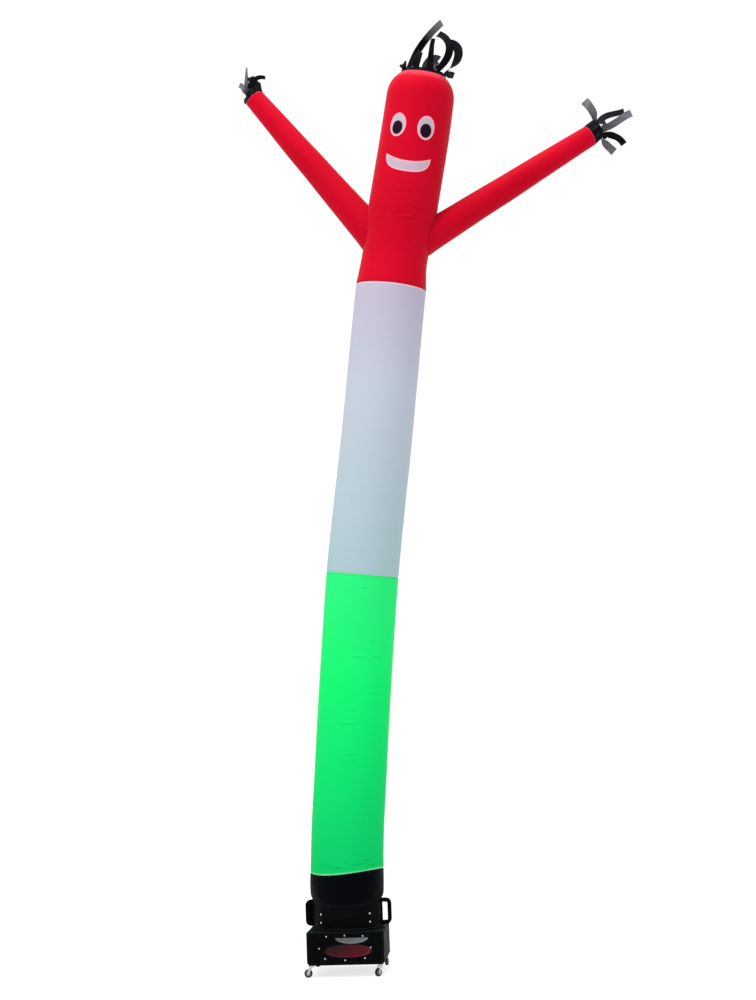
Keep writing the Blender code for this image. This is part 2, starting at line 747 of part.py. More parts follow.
def make_ribbons(arms, materials):
    black = materials["black_nylon"]
    head = spine_frame(HEAD_RIM)
    ribbon_band(
        "hair_ribbons", head, HEAD_RIM_RADIUS, HEAD_RIM_RADIUS - HAIR_BAND_TAPER,
        head[0] + head[1] * HAIR_BAND, HAIR_SLOTS, HAIR, black,
    )
    for arm in arms:
        name = arm["name"]
        _, tip, along, right, back = arm_frame(arm)
        radius = arm["tip_radius"]
        end = tip + along * HAND_BAND + Vector(HAND_BAND_SWING[name])
        ribbon_band(
            f"hand_ribbons_{name}", (tip, along, right, back), radius, radius - HAND_BAND_TAPER,
            end, HAND_SLOTS, HAND_LEFT if name == "left" else HAND_RIGHT, black,
        )


# ---------------------------------------------------------------- blower


def base_outline(inset, height):
    half = BASE_HALF - inset
    return [
        Vector((x, y, height)) for x, y in rounded_rectangle(half, half, BASE_CORNER - inset)
    ]


def make_base(materials):
    plastic = materials["moulded_plastic"]
    base = stacked("blower_base", [
        base_outline(BASE_BEVEL, BASE_LOW),
        base_outline(0.0, BASE_LOW + BASE_BEVEL_RISE),
        base_outline(0.0, BASE_HIGH - BASE_TOP_BEVEL),
        base_outline(BASE_TOP_BEVEL, BASE_HIGH),
    ], plastic)
    inside = stacked("base_inside", [
        base_outline(BASE_WALL + BASE_BEVEL, BASE_LOW + BASE_WALL),
        base_outline(BASE_WALL, BASE_LOW + BASE_WALL + BASE_BEVEL_RISE),
        base_outline(BASE_WALL, BASE_HIGH - BASE_WALL - BASE_TOP_BEVEL),
        base_outline(BASE_WALL + BASE_TOP_BEVEL, BASE_HIGH - BASE_WALL),
    ], plastic)
    add_boolean(base, inside, "DIFFERENCE")
    cuts = (
        ("base_intake", INTAKE_RADIUS, BASE_LOW - CUT, BASE_LOW + BASE_WALL + CUT),
        ("base_outlet", DRUM_RADIUS - DRUM_WALL, BASE_HIGH - BASE_WALL - CUT, BASE_HIGH + CUT),
    )
    for name, radius, low, high in cuts:
        add_boolean(base, turned(name, [(radius, low), (radius, high)], plastic), "DIFFERENCE")


def make_drum(materials):
    low = BASE_HIGH + GAP
    flange_high = low + DRUM_FLANGE_HIGH
    inner = DRUM_RADIUS - DRUM_WALL
    turned("blower_drum", [
        (inner, low),
        (DRUM_FLANGE_RADIUS, low),
        (DRUM_FLANGE_RADIUS, flange_high - DRUM_FLANGE_CHAMFER),
        (DRUM_FLANGE_RADIUS - DRUM_FLANGE_CHAMFER, flange_high),
        (DRUM_RADIUS, flange_high),
        (DRUM_RADIUS, DRUM_HIGH),
        (inner, DRUM_HIGH),
    ], materials["moulded_plastic"], closed_loop=True)


def handle_outline(far, inset_foot, inset_bar, corner, steps=3):
    """A D in the X-Z plane: a straight side by the drum and two round outer corners."""
    low, high = HANDLE_LOW + inset_bar, HANDLE_HIGH - inset_bar
    near = DRUM_RADIUS + GAP + inset_foot
    points = [(near, low)]
    for centre_z, start in ((low + corner, -90.0), (high - corner, 0.0)):
        for step in range(steps + 1):
            angle = math.radians(start + 90.0 * step / steps)
            points.append((far - corner + corner * math.cos(angle), centre_z + corner * math.sin(angle)))
    points.append((near, high))
    return points


def make_handles(materials):
    plastic = materials["moulded_plastic"]
    half = HANDLE_DEEP / 2
    for name, side in (("left", -1), ("right", 1)):
        body_line = handle_outline(HANDLE_OUT[name], 0.0, 0.0, HANDLE_CORNER)
        body = stacked(f"handle_{name}", [
            [Vector((side * x, y, z)) for x, z in body_line] for y in (-half, half)
        ], plastic)
        slot_line = handle_outline(
            HANDLE_OUT[name] - HANDLE_GRIP, HANDLE_FOOT, HANDLE_BAR, HANDLE_CORNER - HANDLE_GRIP,
        )
        slot_end = half - HANDLE_WEB if side < 0 else half + CUT
        slot = stacked(f"slot_{name}", [
            [Vector((side * x, y, z)) for x, z in slot_line] for y in (-half - CUT, slot_end)
        ], plastic)
        add_boolean(body, slot, "DIFFERENCE")


def front_solid(name, outline, low_y, thick, material, chamfer=0.0):
    """A flat shape on the base's front, its back at -low_y, standing out by thick."""
    def ring(y, shrink):
        return [Vector((x * shrink, -y, z * shrink)) for x, z in outline]

    span = max(x for x, _ in outline)
    layers = [ring(low_y, 1.0), ring(low_y + thick - chamfer, 1.0)]
    if chamfer:
        layers.append(ring(low_y + thick, 1.0 - chamfer / span))
    return stacked(name, layers, material)


def make_front(materials):
    plate_y = BASE_HALF + GAP
    outline = superellipse(PLATE_HALF_WIDE, PLATE_HALF_HIGH, PLATE_SQUARENESS, PLATE_POINTS)
    plate = front_solid(
        "front_plate", outline, plate_y, PLATE_THICK, materials["moulded_plastic"], PLATE_CHAMFER,
    )
    sticker_y = plate_y + PLATE_THICK + GAP
    cap_drop = STICKER_TOP_HIGH - STICKER_TOP_LOW
    cap = [
        (STICKER_TOP_RIGHT - STICKER_TOP_HALF_WIDE * math.cos(a), STICKER_TOP_HIGH - cap_drop * math.sin(a))
        for a in (math.pi * k / STICKER_TOP_STEPS for k in range(STICKER_TOP_STEPS + 1))
    ]
    field = superellipse(
        STICKER_BOTTOM_HALF_WIDE, STICKER_BOTTOM_HALF_HIGH, STICKER_BOTTOM_SQUARENESS,
        STICKER_BOTTOM_POINTS,
    )
    field = [(x + STICKER_BOTTOM_RIGHT, z - STICKER_BOTTOM_DROP) for x, z in field]
    top = front_solid("sticker_top", cap, sticker_y, STICKER_THICK, materials["sticker_grey"])
    bottom = front_solid("sticker_bottom", field, sticker_y, STICKER_THICK, materials["sticker_red"])
    for piece in (plate, top, bottom):
        piece.location.z = PLATE_HEIGHT
    for number, (x, z) in enumerate(PLATE_SCREWS, start=1):
        screw = make_screw(f"plate_screw_{number}", SCREW_RADIUS, SCREW_HIGH, materials)
        stand = sticker_y + (STICKER_THICK + GAP if number in PLATE_SCREWS_ON_STICKER else 0.0)
        screw.rotation_euler = (math.radians(90), 0, 0)
        screw.location = (x, -stand, PLATE_HEIGHT + z)


def make_screw(name, radius, high, materials):
    """A domed head that stands on Z = 0 and rises along Z."""
    profile = ((radius, 0.0), (radius, SCREW_EDGE_SHARE * high), (SCREW_TOP_SHARE * radius, high))
    return turned(name, profile, materials["zinc_plate"], sides=SCREW_SIDES)


def make_drum_bolts(materials):
    flat = DRUM_RADIUS + GAP
    number = 0
    for azimuth in DRUM_BOLT_AZIMUTHS:
        for height in DRUM_BOLT_HEIGHTS:
            number += 1
            bolt = make_screw(f"drum_bolt_{number}", DRUM_BOLT_RADIUS, DRUM_BOLT_HIGH, materials)
            place = Matrix.Rotation(math.radians(azimuth), 4, "Z") @ Matrix.Translation((flat, 0, height))
            bolt.matrix_local = place @ Matrix.Rotation(math.radians(90), 4, "Y")


# ---------------------------------------------------------------- casters


def make_caster(caster, materials):
    name = caster["name"]
    stem = Vector((caster["side_x"] * CASTER_STEM, caster["side_y"] * CASTER_STEM, 0.0))
    trail = math.radians(caster["trail_deg"])
    metal = materials["zinc_plate"]

    plate_top = BASE_LOW - GAP
    plate_low = plate_top - CASTER_PLATE_THICK
    fork_top = plate_low - RUNNING_GAP
    fork_low = fork_top - FORK_TOP_THICK
    head_top = fork_low - RUNNING_GAP
    plate = turned(f"caster_plate_{name}", [
        (PIN_HEAD_RADIUS, head_top - PIN_HEAD_THICK),
        (PIN_HEAD_RADIUS, head_top),
        (PIN_RADIUS, head_top),
        (PIN_RADIUS, plate_low),
        (CASTER_PLATE_RADIUS, plate_low),
        (CASTER_PLATE_RADIUS, plate_top),
    ], metal, sides=CASTER_SIDES)
    plate.location = stem

    swivel = bpy.data.objects.new(f"swivel_{name}", None)
    bpy.context.scene.collection.objects.link(swivel)
    swivel.parent = OBJECT_ROOT
    swivel.location = stem
    swivel.rotation_euler.z = trail

    half_fork = WHEEL_WIDTH / 2 + 2 * RUNNING_GAP
    hole = PIN_RADIUS + RUNNING_GAP
    fork = turned(f"caster_fork_{name}", [
        (hole, fork_low), (FORK_TOP_RADIUS, fork_low), (FORK_TOP_RADIUS, fork_top), (hole, fork_top),
    ], metal, sides=CASTER_SIDES, closed_loop=True)
    fork.parent = swivel
    for side in (-1, 1):
        near, far = side * half_fork, side * (half_fork + FORK_LEG)
        line = [(x, fork_low + FORK_LEG_LAP) for x in FORK_LEG_REACH]
        for step in range(FORK_EYE_POINTS):
            angle = math.radians(FORK_EYE_START + FORK_EYE_STEP * step)
            eye_x, eye_z = FORK_EYE * math.cos(angle), FORK_EYE * math.sin(angle)
            line.append((CASTER_TRAIL + eye_x, WHEEL_RADIUS + eye_z))
        leg = stacked(f"leg_{name}_{'near' if side < 0 else 'far'}", [
            [Vector((x, y, z)) for x, z in line] for y in sorted((near, far))
        ], metal)
        leg.parent = swivel
        add_boolean(fork, leg, "UNION")
    half_axle = half_fork + FORK_LEG + AXLE_STUB
    axle = turned(
        f"axle_{name}", [(AXLE_RADIUS, -half_axle), (AXLE_RADIUS, half_axle)], metal, sides=AXLE_SIDES,
    )
    axle.parent = swivel
    axle.rotation_euler = (math.radians(90), 0, 0)
    axle.location = (CASTER_TRAIL, 0, WHEEL_RADIUS)
    add_boolean(fork, axle, "UNION")

    flat = math.cos(math.pi / WHEEL_SIDES)
    rim = WHEEL_RADIUS / flat
    bore = (AXLE_RADIUS + RUNNING_GAP) / flat
    half = WHEEL_WIDTH / 2
    wheel = turned(f"caster_wheel_{name}", [
        (bore, -half), (rim - WHEEL_CHAMFER, -half), (rim, -half + WHEEL_CHAMFER),
        (rim, half - WHEEL_CHAMFER), (rim - WHEEL_CHAMFER, half), (bore, half),
    ], materials["tyre_rubber"], sides=WHEEL_SIDES, closed_loop=True, start_deg=180.0 / WHEEL_SIDES)
    wheel.parent = swivel
    wheel.rotation_euler = (math.radians(90), 0, 0)
    wheel.location = (CASTER_TRAIL, 0, WHEEL_RADIUS)


# ---------------------------------------------------------------- the object

clear_scene()
OBJECT_ROOT = bpy.data.objects.new("air_dancer", None)
bpy.context.scene.collection.objects.link(OBJECT_ROOT)
OBJECT_ROOT.location = (*BLOWER_PLACE, 0.0)


def main():
    materials = make_materials()
    red = make_tube(materials)
    core = make_core(materials)
    arms = [dict(zip(ARM_COLUMNS, row)) for row in ARMS]
    for arm in arms:
        make_arm(arm, red, core, materials)
    make_face(materials)
    make_ribbons(arms, materials)
    make_base(materials)
    make_drum(materials)
    make_handles(materials)
    make_front(materials)
    make_drum_bolts(materials)
    for row in CASTERS:
        make_caster(dict(zip(CASTER_COLUMNS, row)), materials)
    bpy.context.view_layer.update()


main()
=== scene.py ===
"""Looks of the inflatable air dancer: blown-up nylon, seams, sewn face, ribbons and the blower.

Metres, +Z up, -Y to the front. Lengths and places are measured from the blower's upright axis,
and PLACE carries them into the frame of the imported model.
"""

import math
from collections import namedtuple

import bpy
import numpy as np
from mathutils import Matrix, Vector


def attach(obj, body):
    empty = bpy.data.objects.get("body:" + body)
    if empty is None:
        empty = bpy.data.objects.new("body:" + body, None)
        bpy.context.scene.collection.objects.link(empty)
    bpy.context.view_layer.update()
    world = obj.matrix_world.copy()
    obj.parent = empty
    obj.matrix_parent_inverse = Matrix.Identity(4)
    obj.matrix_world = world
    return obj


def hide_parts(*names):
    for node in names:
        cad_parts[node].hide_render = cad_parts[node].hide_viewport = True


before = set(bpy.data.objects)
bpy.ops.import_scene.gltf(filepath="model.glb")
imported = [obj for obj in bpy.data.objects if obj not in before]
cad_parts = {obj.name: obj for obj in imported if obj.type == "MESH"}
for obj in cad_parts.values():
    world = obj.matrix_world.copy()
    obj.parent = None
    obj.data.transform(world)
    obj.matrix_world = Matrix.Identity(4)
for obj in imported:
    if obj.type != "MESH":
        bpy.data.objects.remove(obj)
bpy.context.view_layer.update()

PLACE = np.array((-0.747, 0.135, 0.0))     # the blower's axis, from the middle of the whole box
CLOTH = 0.0012                             # the nylon's thickness in the solids
SIDES, ARM_SIDES = 216, 96                 # points round the tube and round an arm
SHARP_DEG = 50                             # edges sharper than this are shaded sharp

# ---- the tube's shape

# Centre line: height, how far right, how far forward.
SPINE = (
    (0.394, 0.000, 0.000), (0.494, 0.000, 0.000), (0.614, 0.004, 0.000), (0.874, 0.017, 0.004),
    (1.174, 0.043, 0.011), (1.574, 0.079, 0.024), (2.074, 0.127, 0.050), (2.484, 0.172, 0.074),
    (2.884, 0.229, 0.100), (3.294, 0.290, 0.126), (3.694, 0.345, 0.153), (4.104, 0.400, 0.182),
    (4.440, 0.451, 0.204), (4.514, 0.466, 0.209), (4.874, 0.540, 0.238), (5.284, 0.626, 0.284),
    (5.664, 0.698, 0.332),
)
# Height, outer radius.
GIRTH = (
    (0.394, 0.2138), (0.432, 0.2138), (0.450, 0.2180), (0.470, 0.2240), (0.495, 0.2280),
    (0.520, 0.2302), (0.550, 0.2310), (0.614, 0.2292), (0.764, 0.2278), (1.214, 0.2280),
    (2.464, 0.2288), (3.214, 0.2262), (4.284, 0.2242), (4.354, 0.2180), (4.414, 0.2125),
    (4.474, 0.2100), (4.574, 0.2125), (4.774, 0.2215), (5.064, 0.2212), (5.284, 0.2205),
    (5.464, 0.2180),
)
# The sleeve's seam isn't level: its height, and its waves once and twice round the tube.
SEAM_SLEEVE, SEAM_SLEEVE_RISE, SEAM_SLEEVE_BEND, SEAM_SLEEVE_SKEW = 0.618, 0.0153, 0.0034, -0.0075
SEAM_GREEN, SEAM_WHITE = 2.464, 4.282
HEM_FRONT, HEM_SIDE = 0.413, 0.450
SHOULDER, HEAD_RIM, HEAD_RIM_RADIUS, SHOULDER_ROUND = 5.464, 5.629, 0.146, 2.8
GAP = 0.0003                                 # between one length of the tube and the next

# Gathers over the sleeve's elastic hem: how deep, at what height, and how far up and down.
GATHERS, GATHER_DEPTH, GATHER_HEIGHT, GATHER_REACH = 8, 0.0028, 0.480, 0.045
FINE_GATHER_DEPTH, FINE_GATHER_HEIGHT, FINE_GATHER_REACH = 0.0018, 0.462, 0.060
FINE_GATHER_WAVES, FINE_GATHER_START = (21, 29, 34, 43, 50), 0.03

SEAM_DIP, SEAM_DIP_REACH = 0.0022, 0.010     # the thread pulls the cloth in along a seam
SEAM_PUCKER, SEAM_PUCKER_REACH, SEAM_PUCKER_WAVES = 0.0009, 0.075, (26, 31, 37, 44, 52)
RIM_PUCKER, RIM_PUCKER_DOWN, RIM_PUCKER_REACH, RIM_WAVES = 0.0011, 0.028, 0.07, (19, 24, 31, 38)

# Broad unevenness of the blown-up cloth: waves round, and radians for each metre up.
SOFT_WAVE, CALM_HEIGHT, CALM_REACH = 0.0011, 0.56, 0.3
Wave = namedtuple("Wave", "size count climb start")
SOFT_WAVES = (
    Wave(1.0, 2, 1.7, 0.0), Wave(0.8, 3, -2.9, 1.0), Wave(0.6, 5, 4.3, 2.0),
    Wave(0.7, 1, -6.1, 0.5), Wave(0.4, 7, -9.0, 4.0),
)

# Press lines left from folding and from the air's push: azimuth and height at both ends, how far
# the line bows up between them, and its depth and half height.
Crease = namedtuple("Crease", "start end low high bow depth half")
RIDGE, RIDGE_OVER = 0.55, 1.3                # the low ridge over a press line, in its own sizes
CREASES = tuple(Crease(*row) for row in (
    (-112, -70, 4.842, 4.860, 0.004, 0.0041, 0.011),
    (-96, -8, 4.756, 4.736, 0.022, 0.0070, 0.012),
    (-108, -74, 4.716, 4.730, 0.003, 0.0046, 0.009),
    (-100, -46, 4.678, 4.704, 0.004, 0.0062, 0.010),
    (-60, -12, 4.666, 4.704, 0.012, 0.0059, 0.011),
    (-66, -38, 4.530, 4.550, 0.002, 0.0041, 0.010),
    (-106, -82, 4.742, 4.748, 0.002, 0.0034, 0.006),
    (-112, -84, 4.700, 4.712, 0.002, 0.0036, 0.006),
    (-108, -88, 4.686, 4.694, 0.001, 0.0030, 0.005),
    (-72, -46, 4.720, 4.712, 0.003, 0.0036, 0.006),
    (-92, -72, 4.874, 4.880, 0.001, 0.0028, 0.006),
    (-50, -26, 4.636, 4.662, 0.001, 0.0034, 0.007),
    (-128, -96, 4.654, 4.682, 0.006, 0.0032, 0.010),
    (140, 205, 4.714, 4.726, 0.006, 0.0059, 0.013),
    (60, 140, 4.669, 4.676, 0.008, 0.0049, 0.012),
    (95, 150, 4.804, 4.794, 0.004, 0.0038, 0.010),
    (-96, -66, 2.369, 2.376, 0.001, 0.0032, 0.008),
    (-72, -50, 2.041, 2.044, 0.001, 0.0026, 0.008),
    (-100, -64, 1.951, 1.948, 0.001, 0.0041, 0.007),
    (-64, -36, 1.952, 1.954, 0.001, 0.0035, 0.007),
    (-72, -24, 1.728, 1.733, 0.002, 0.0038, 0.008),
    (-100, -70, 1.614, 1.618, 0.001, 0.0023, 0.008),
    (-122, -66, 1.523, 1.536, 0.001, 0.0041, 0.008),
    (-104, -68, 1.338, 1.342, 0.001, 0.0038, 0.007),
    (-104, -68, 1.307, 1.311, 0.001, 0.0032, 0.006),
    (-112, -88, 1.094, 1.099, 0.001, 0.0026, 0.008),
    (-142, -104, 0.668, 0.662, -0.002, 0.0040, 0.006),
    (-122, -82, 0.646, 0.652, 0.002, 0.0046, 0.006),
    (-88, -46, 0.668, 0.690, -0.003, 0.0042, 0.006),
    (-70, -32, 0.690, 0.712, 0.001, 0.0036, 0.007),
    (-58, -24, 0.664, 0.672, 0.002, 0.0040, 0.006),
    (20, 70, 0.668, 0.660, 0.002, 0.0040, 0.006),
    (96, 142, 0.650, 0.644, 0.002, 0.0040, 0.006),
    (150, 196, 0.656, 0.668, 0.002, 0.0036, 0.006),
    (70, 130, 1.944, 1.952, 0.003, 0.0038, 0.008),
    (40, 110, 1.524, 1.534, 0.004, 0.0038, 0.008),
    (100, 170, 1.314, 1.322, 0.003, 0.0035, 0.008),
    (60, 120, 2.214, 2.220, 0.003, 0.0029, 0.008),
    (150, 215, 0.994, 0.999, 0.003, 0.0032, 0.009),
    (80, 150, 3.064, 3.076, 0.004, 0.0020, 0.009),
    (30, 100, 3.734, 3.742, 0.004, 0.0020, 0.009),
    (-100, -60, 3.919, 3.926, 0.002, 0.0010, 0.010),
))

Arm = namedtuple("Arm", "name root tip root_radius tip_radius seed")
ARMS = (
    Arm("left", (0.405, -0.212, 4.529), (-0.433, -0.120, 5.628), 0.1135, 0.0672, 70),
    Arm("right", (0.560, -0.222, 4.530), (1.747, 0.010, 5.281), 0.1035, 0.0690, 80),
)

# ---- curves and surfaces


def smooth_curve(table, column):
    """A smooth curve through a table's column, against its first one, never past its rows."""
    height = np.array([row[0] for row in table])
    value = np.array([row[column] for row in table])
    rise = np.diff(value) / np.diff(height)
    slope = np.concatenate(([rise[0]], np.zeros(len(rise) - 1), [rise[-1]]))
    for i in range(1, len(rise)):
        if rise[i - 1] * rise[i] > 0:
            slope[i] = 2 * rise[i - 1] * rise[i] / (rise[i - 1] + rise[i])

    def at(h):
        h = np.asarray(h, dtype=float)
        i = np.clip(np.searchsorted(height, h) - 1, 0, len(height) - 2)
        span = height[i + 1] - height[i]
        u = np.clip((h - height[i]) / span, 0.0, 1.0)
        past = h - np.clip(h, height[0], height[-1])
        curve = (
            value[i] * (1 + 2 * u) * (1 - u) ** 2
            + slope[i] * span * u * (1 - u) ** 2
            + value[i + 1] * u * u * (3 - 2 * u)
            + slope[i + 1] * span * u * u * (u - 1)
        )
        return curve + past * np.where(past > 0, slope[-1], slope[0])

    return at


spine_right = smooth_curve(SPINE, 1)
spine_forward = smooth_curve(SPINE, 2)
girth = smooth_curve(GIRTH, 1)


def unit(v):
    return v / np.linalg.norm(v, axis=-1, keepdims=True)


def spine_point(h):
    h = np.asarray(h, dtype=float)
    return np.stack((spine_right(h), -spine_forward(h), h), axis=-1)


def spine_frame(h):
    """Centre, direction along the tube, and the two directions across it, right and back."""
    step = 0.02
    along = unit(spine_point(h + step) - spine_point(h - step))
    right = unit(np.array((1.0, 0.0, 0.0)) - along * along[..., :1])
    return spine_point(h), along, right, np.cross(along, right)


def fade(distance):
    """1 at 0, smoothly down to 0 at 1 and beyond."""
    d = np.minimum(np.abs(distance), 1.0)
    return 1.0 - d * d * (3.0 - 2.0 * d)


def ripple(a, waves, seed):
    """An uneven wave round the tube, about -1 to 1, of the given counts of waves."""
    draw = np.random.RandomState(seed)
    total = np.zeros_like(a)
    for count in waves:
        total = total + (0.5 + draw.rand()) * np.cos(count * a + draw.rand() * math.tau)
    return total / len(waves)


def sleeve_seam(a):
    """The height of the slanted seam between the sleeve and the green length."""
    bend = SEAM_SLEEVE_BEND * np.cos(2 * a) + SEAM_SLEEVE_SKEW * np.sin(2 * a)
    return SEAM_SLEEVE + SEAM_SLEEVE_RISE * np.cos(a) + bend


def sleeve_hem(a):
    """The height of the sleeve's gathered hem, which is drawn up at both handles."""
    return HEM_FRONT + (HEM_SIDE - HEM_FRONT) * np.cos(a) ** 4


def crease_press(h, a):
    """How deep the press lines go, each with a low ridge over it."""
    press = np.zeros_like(h)
    turn_deg = np.degrees(a)
    for start, end, low, high, bow, depth, half in CREASES:
        turn = (turn_deg - 0.5 * (start + end) + 180.0) % 360.0 - 180.0
        u = 2.0 * turn / (end - start)
        line = 0.5 * (low + high) + 0.5 * (high - low) * u + bow * (1.0 - u * u)
        drop = (h - line) / half
        press += depth * fade(u) * (fade(drop) - RIDGE * fade(drop - RIDGE_OVER))
    return press


def tube_radius(h, a):
    """The outer skin's distance from the centre line, with its gathers, creases and puckers."""
    radius = girth(np.minimum(h, SHOULDER))
    rise = np.clip((h - SHOULDER) / (HEAD_RIM - SHOULDER), 0.0, 1.0)
    radius = radius - (girth(SHOULDER) - HEAD_RIM_RADIUS) * rise ** SHOULDER_ROUND
    radius = radius + GATHER_DEPTH * np.cos(GATHERS * a) * fade((h - GATHER_HEIGHT) / GATHER_REACH)
    fine = ripple(a, FINE_GATHER_WAVES, seed=7)
    on_drum = np.clip((h - sleeve_hem(a)) / FINE_GATHER_START, 0.0, 1.0)
    near = fade((h - FINE_GATHER_HEIGHT) / FINE_GATHER_REACH)
    radius = radius + FINE_GATHER_DEPTH * fine * on_drum * near
    radius = radius - crease_press(h, a)
    for index, seam in enumerate((sleeve_seam(a), SEAM_GREEN, SEAM_WHITE)):
        away = h - seam
        dip = fade(away / SEAM_DIP_REACH)
        radius = radius - SEAM_DIP * dip
        pucker = ripple(a, SEAM_PUCKER_WAVES, seed=20 + index)
        radius = radius + SEAM_PUCKER * pucker * (fade(away / SEAM_PUCKER_REACH) - 0.6 * dip)
    rim = fade((HEAD_RIM - RIM_PUCKER_DOWN - h) / RIM_PUCKER_REACH)
    radius = radius + RIM_PUCKER * ripple(a, RIM_WAVES, seed=31) * rim
    calm = np.clip((h - CALM_HEIGHT) / CALM_REACH, 0.0, 1.0)
    soft = sum(w.size * np.cos(w.count * a + w.climb * h + w.start) for w in SOFT_WAVES)
    return radius + SOFT_WAVE * soft * calm / 3.0


def around(centre, right, back, radius, a):
    """Points at a radius and azimuths round a centre."""
    return centre + right * (radius * np.cos(a))[..., None] + back * (radius * np.sin(a))[..., None]


def tube_skin(h, a):
    centre, _, right, back = spine_frame(h)
    return around(centre, right, back, tube_radius(h, a), a)


def tube_wall(h, a, out=0.0):
    """Points on the tube's outer skin, or `out` away from it along its normal."""
    h, a = np.broadcast_arrays(np.asarray(h, dtype=float), np.asarray(a, dtype=float))
    turn, step = 0.02, 0.002
    top = np.minimum(h + step, HEAD_RIM)
    sideways = tube_skin(h, a + turn) - tube_skin(h, a - turn)
    upward = tube_skin(top, a) - tube_skin(top - 2 * step, a)
    normal = unit(np.cross(sideways, upward))
    return tube_skin(h, a) + normal * np.asarray(out, dtype=float)[..., None], normal


# ---- meshes

MATERIALS = {}


def put_in_scene(name, data):
    item = bpy.data.objects.new(name, data)
    bpy.context.scene.collection.objects.link(item)
    return item


def new_piece(name, verts, faces, material, uv=None, edge=None, stands_for=None):
    """A mesh piece from points about the blower's axis, in place of a solid if it stands for one.

    uv has a pair for each corner, in metres. edge says how much each point shows its seam, and
    on the ribbons and bands how pale they are, partly their own colour and partly painted sheen.
    """
    mesh = bpy.data.meshes.new(name)
    mesh.from_pydata((np.asarray(verts) + PLACE).tolist(), [], [tuple(map(int, f)) for f in faces])
    if uv is not None:
        pairs = np.asarray(uv, dtype=np.float32)
        mesh.uv_layers.new(name="cloth").uv.foreach_set("vector", pairs.ravel())
    if edge is not None:
        mark = mesh.attributes.new("edge", "FLOAT", "POINT")
        mark.data.foreach_set("value", np.asarray(edge, dtype=np.float32).ravel())
    mesh.materials.append(MATERIALS[material])
    mesh.shade_smooth()
    mesh.set_sharp_from_angle(angle=math.radians(SHARP_DEG))
    piece = put_in_scene(name, mesh)
    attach(piece, "dancer")
    if stands_for:
        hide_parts(stands_for)
    return piece


def shell(name, outer, inner, material, edge, stands_for, keep=None):
    """A closed sheet round an axis from two grids of points, rows by sides.

    keep says which cells between rows and sides are cloth. The others are holes in it.
    """
    rows, sides = outer.shape[:2]
    if keep is None:
        keep = np.ones((rows - 1, sides), dtype=bool)
    verts = np.concatenate((outer.reshape(-1, 3), inner.reshape(-1, 3)))
    wide = np.linalg.norm(np.diff(outer, axis=1), axis=2).sum(axis=1).mean()
    steps = np.linalg.norm(np.diff(outer, axis=0), axis=2).mean(axis=1)
    walk = np.concatenate(([0.0], np.cumsum(steps)))
    faces, uv = [], []
    inside = rows * sides
    for r, k in zip(*np.nonzero(keep)):
        nxt = (k + 1) % sides
        a, b, c, d = r * sides + k, r * sides + nxt, (r + 1) * sides + nxt, (r + 1) * sides + k
        at_a, at_b = (wide * k / sides, walk[r]), (wide * (k + 1) / sides, walk[r])
        at_c, at_d = (at_b[0], walk[r + 1]), (at_a[0], walk[r + 1])
        faces += [(a, b, c, d), (inside + d, inside + c, inside + b, inside + a)]
        uv += [at_a, at_b, at_c, at_d, at_d, at_c, at_b, at_a]
        borders = (
            (r == 0 or not keep[r - 1, k], b, a, at_b, at_a),
            (r == rows - 2 or not keep[r + 1, k], d, c, at_d, at_c),
            (not keep[r, k - 1], a, d, at_a, at_d),
            (not keep[r, nxt], c, b, at_c, at_b),
        )
        for is_open, p, q, at_p, at_q in borders:
            if is_open:
                faces.append((p, q, inside + q, inside + p))
                uv += [at_p, at_q, at_q, at_p]
    return new_piece(
        name, verts, faces, material, uv, np.concatenate((edge.ravel(), edge.ravel())), stands_for,
    )


def levels_between(low, high, apart, fine=(), fine_apart=0.0035, reach=0.02):
    """Heights from low to high, closer together round the fine ones."""
    levels = [low]
    while levels[-1] < high:
        near = any(abs(levels[-1] - f) < reach for f in fine)
        levels.append(levels[-1] + (fine_apart if near else apart))
    levels = np.array(levels)
    return low + (levels - low) * (high - low) / (levels[-1] - low)


THREAD_WIDE, THREAD_HIGH, THREAD_SINK = 0.0009, 0.0006, 0.0003
THREAD_END = 0.45                 # a stitch's size where it dives into the cloth
THREAD_OFF = 0.0002               # of a row of stitches, off the cloth


def thread_rows(name, rows, material, pitch=0.0045, length=0.0034):
    """Stitches along rows, each a list of points and the cloth's normals there, closed or not."""
    verts, faces = [], []
    for points, normals, closed in rows:
        if closed:
            points, normals = np.vstack((points, points[:1])), np.vstack((normals, normals[:1]))
        steps = np.linalg.norm(np.diff(points, axis=0), axis=1)
        walk = np.concatenate(([0.0], np.cumsum(steps)))
        count = max(1, int(walk[-1] / pitch))
        for n in range(count):
            middle = (n + 0.5) * walk[-1] / count
            at = [middle - length / 2, middle, middle + length / 2]
            p = np.stack([np.interp(at, walk, points[:, i]) for i in range(3)], axis=1)
            up = unit(np.array([np.interp(middle, walk, normals[:, i]) for i in range(3)]))
            side = unit(np.cross(p[2] - p[0], up))
            base = len(verts)
            for place, share in zip(p, (THREAD_END, 1.0, THREAD_END)):
                foot, crown = side * (THREAD_WIDE * share / 2), side * (THREAD_WIDE * share / 3)
                sink, lift = up * THREAD_SINK, up * (THREAD_HIGH * share)
                verts += [place - foot - sink, place - crown + lift]
                verts += [place + crown + lift, place + foot - sink]
            for low in (base, base + 4):
                faces += [(low + c, low + (c + 1) % 4, low + 4 + (c + 1) % 4, low + 4 + c) for c in range(4)]
            faces += [(base + 3, base + 2, base + 1, base), (base + 8, base + 9, base + 10, base + 11)]
    return new_piece(name, verts, faces, material)


# ---- materials


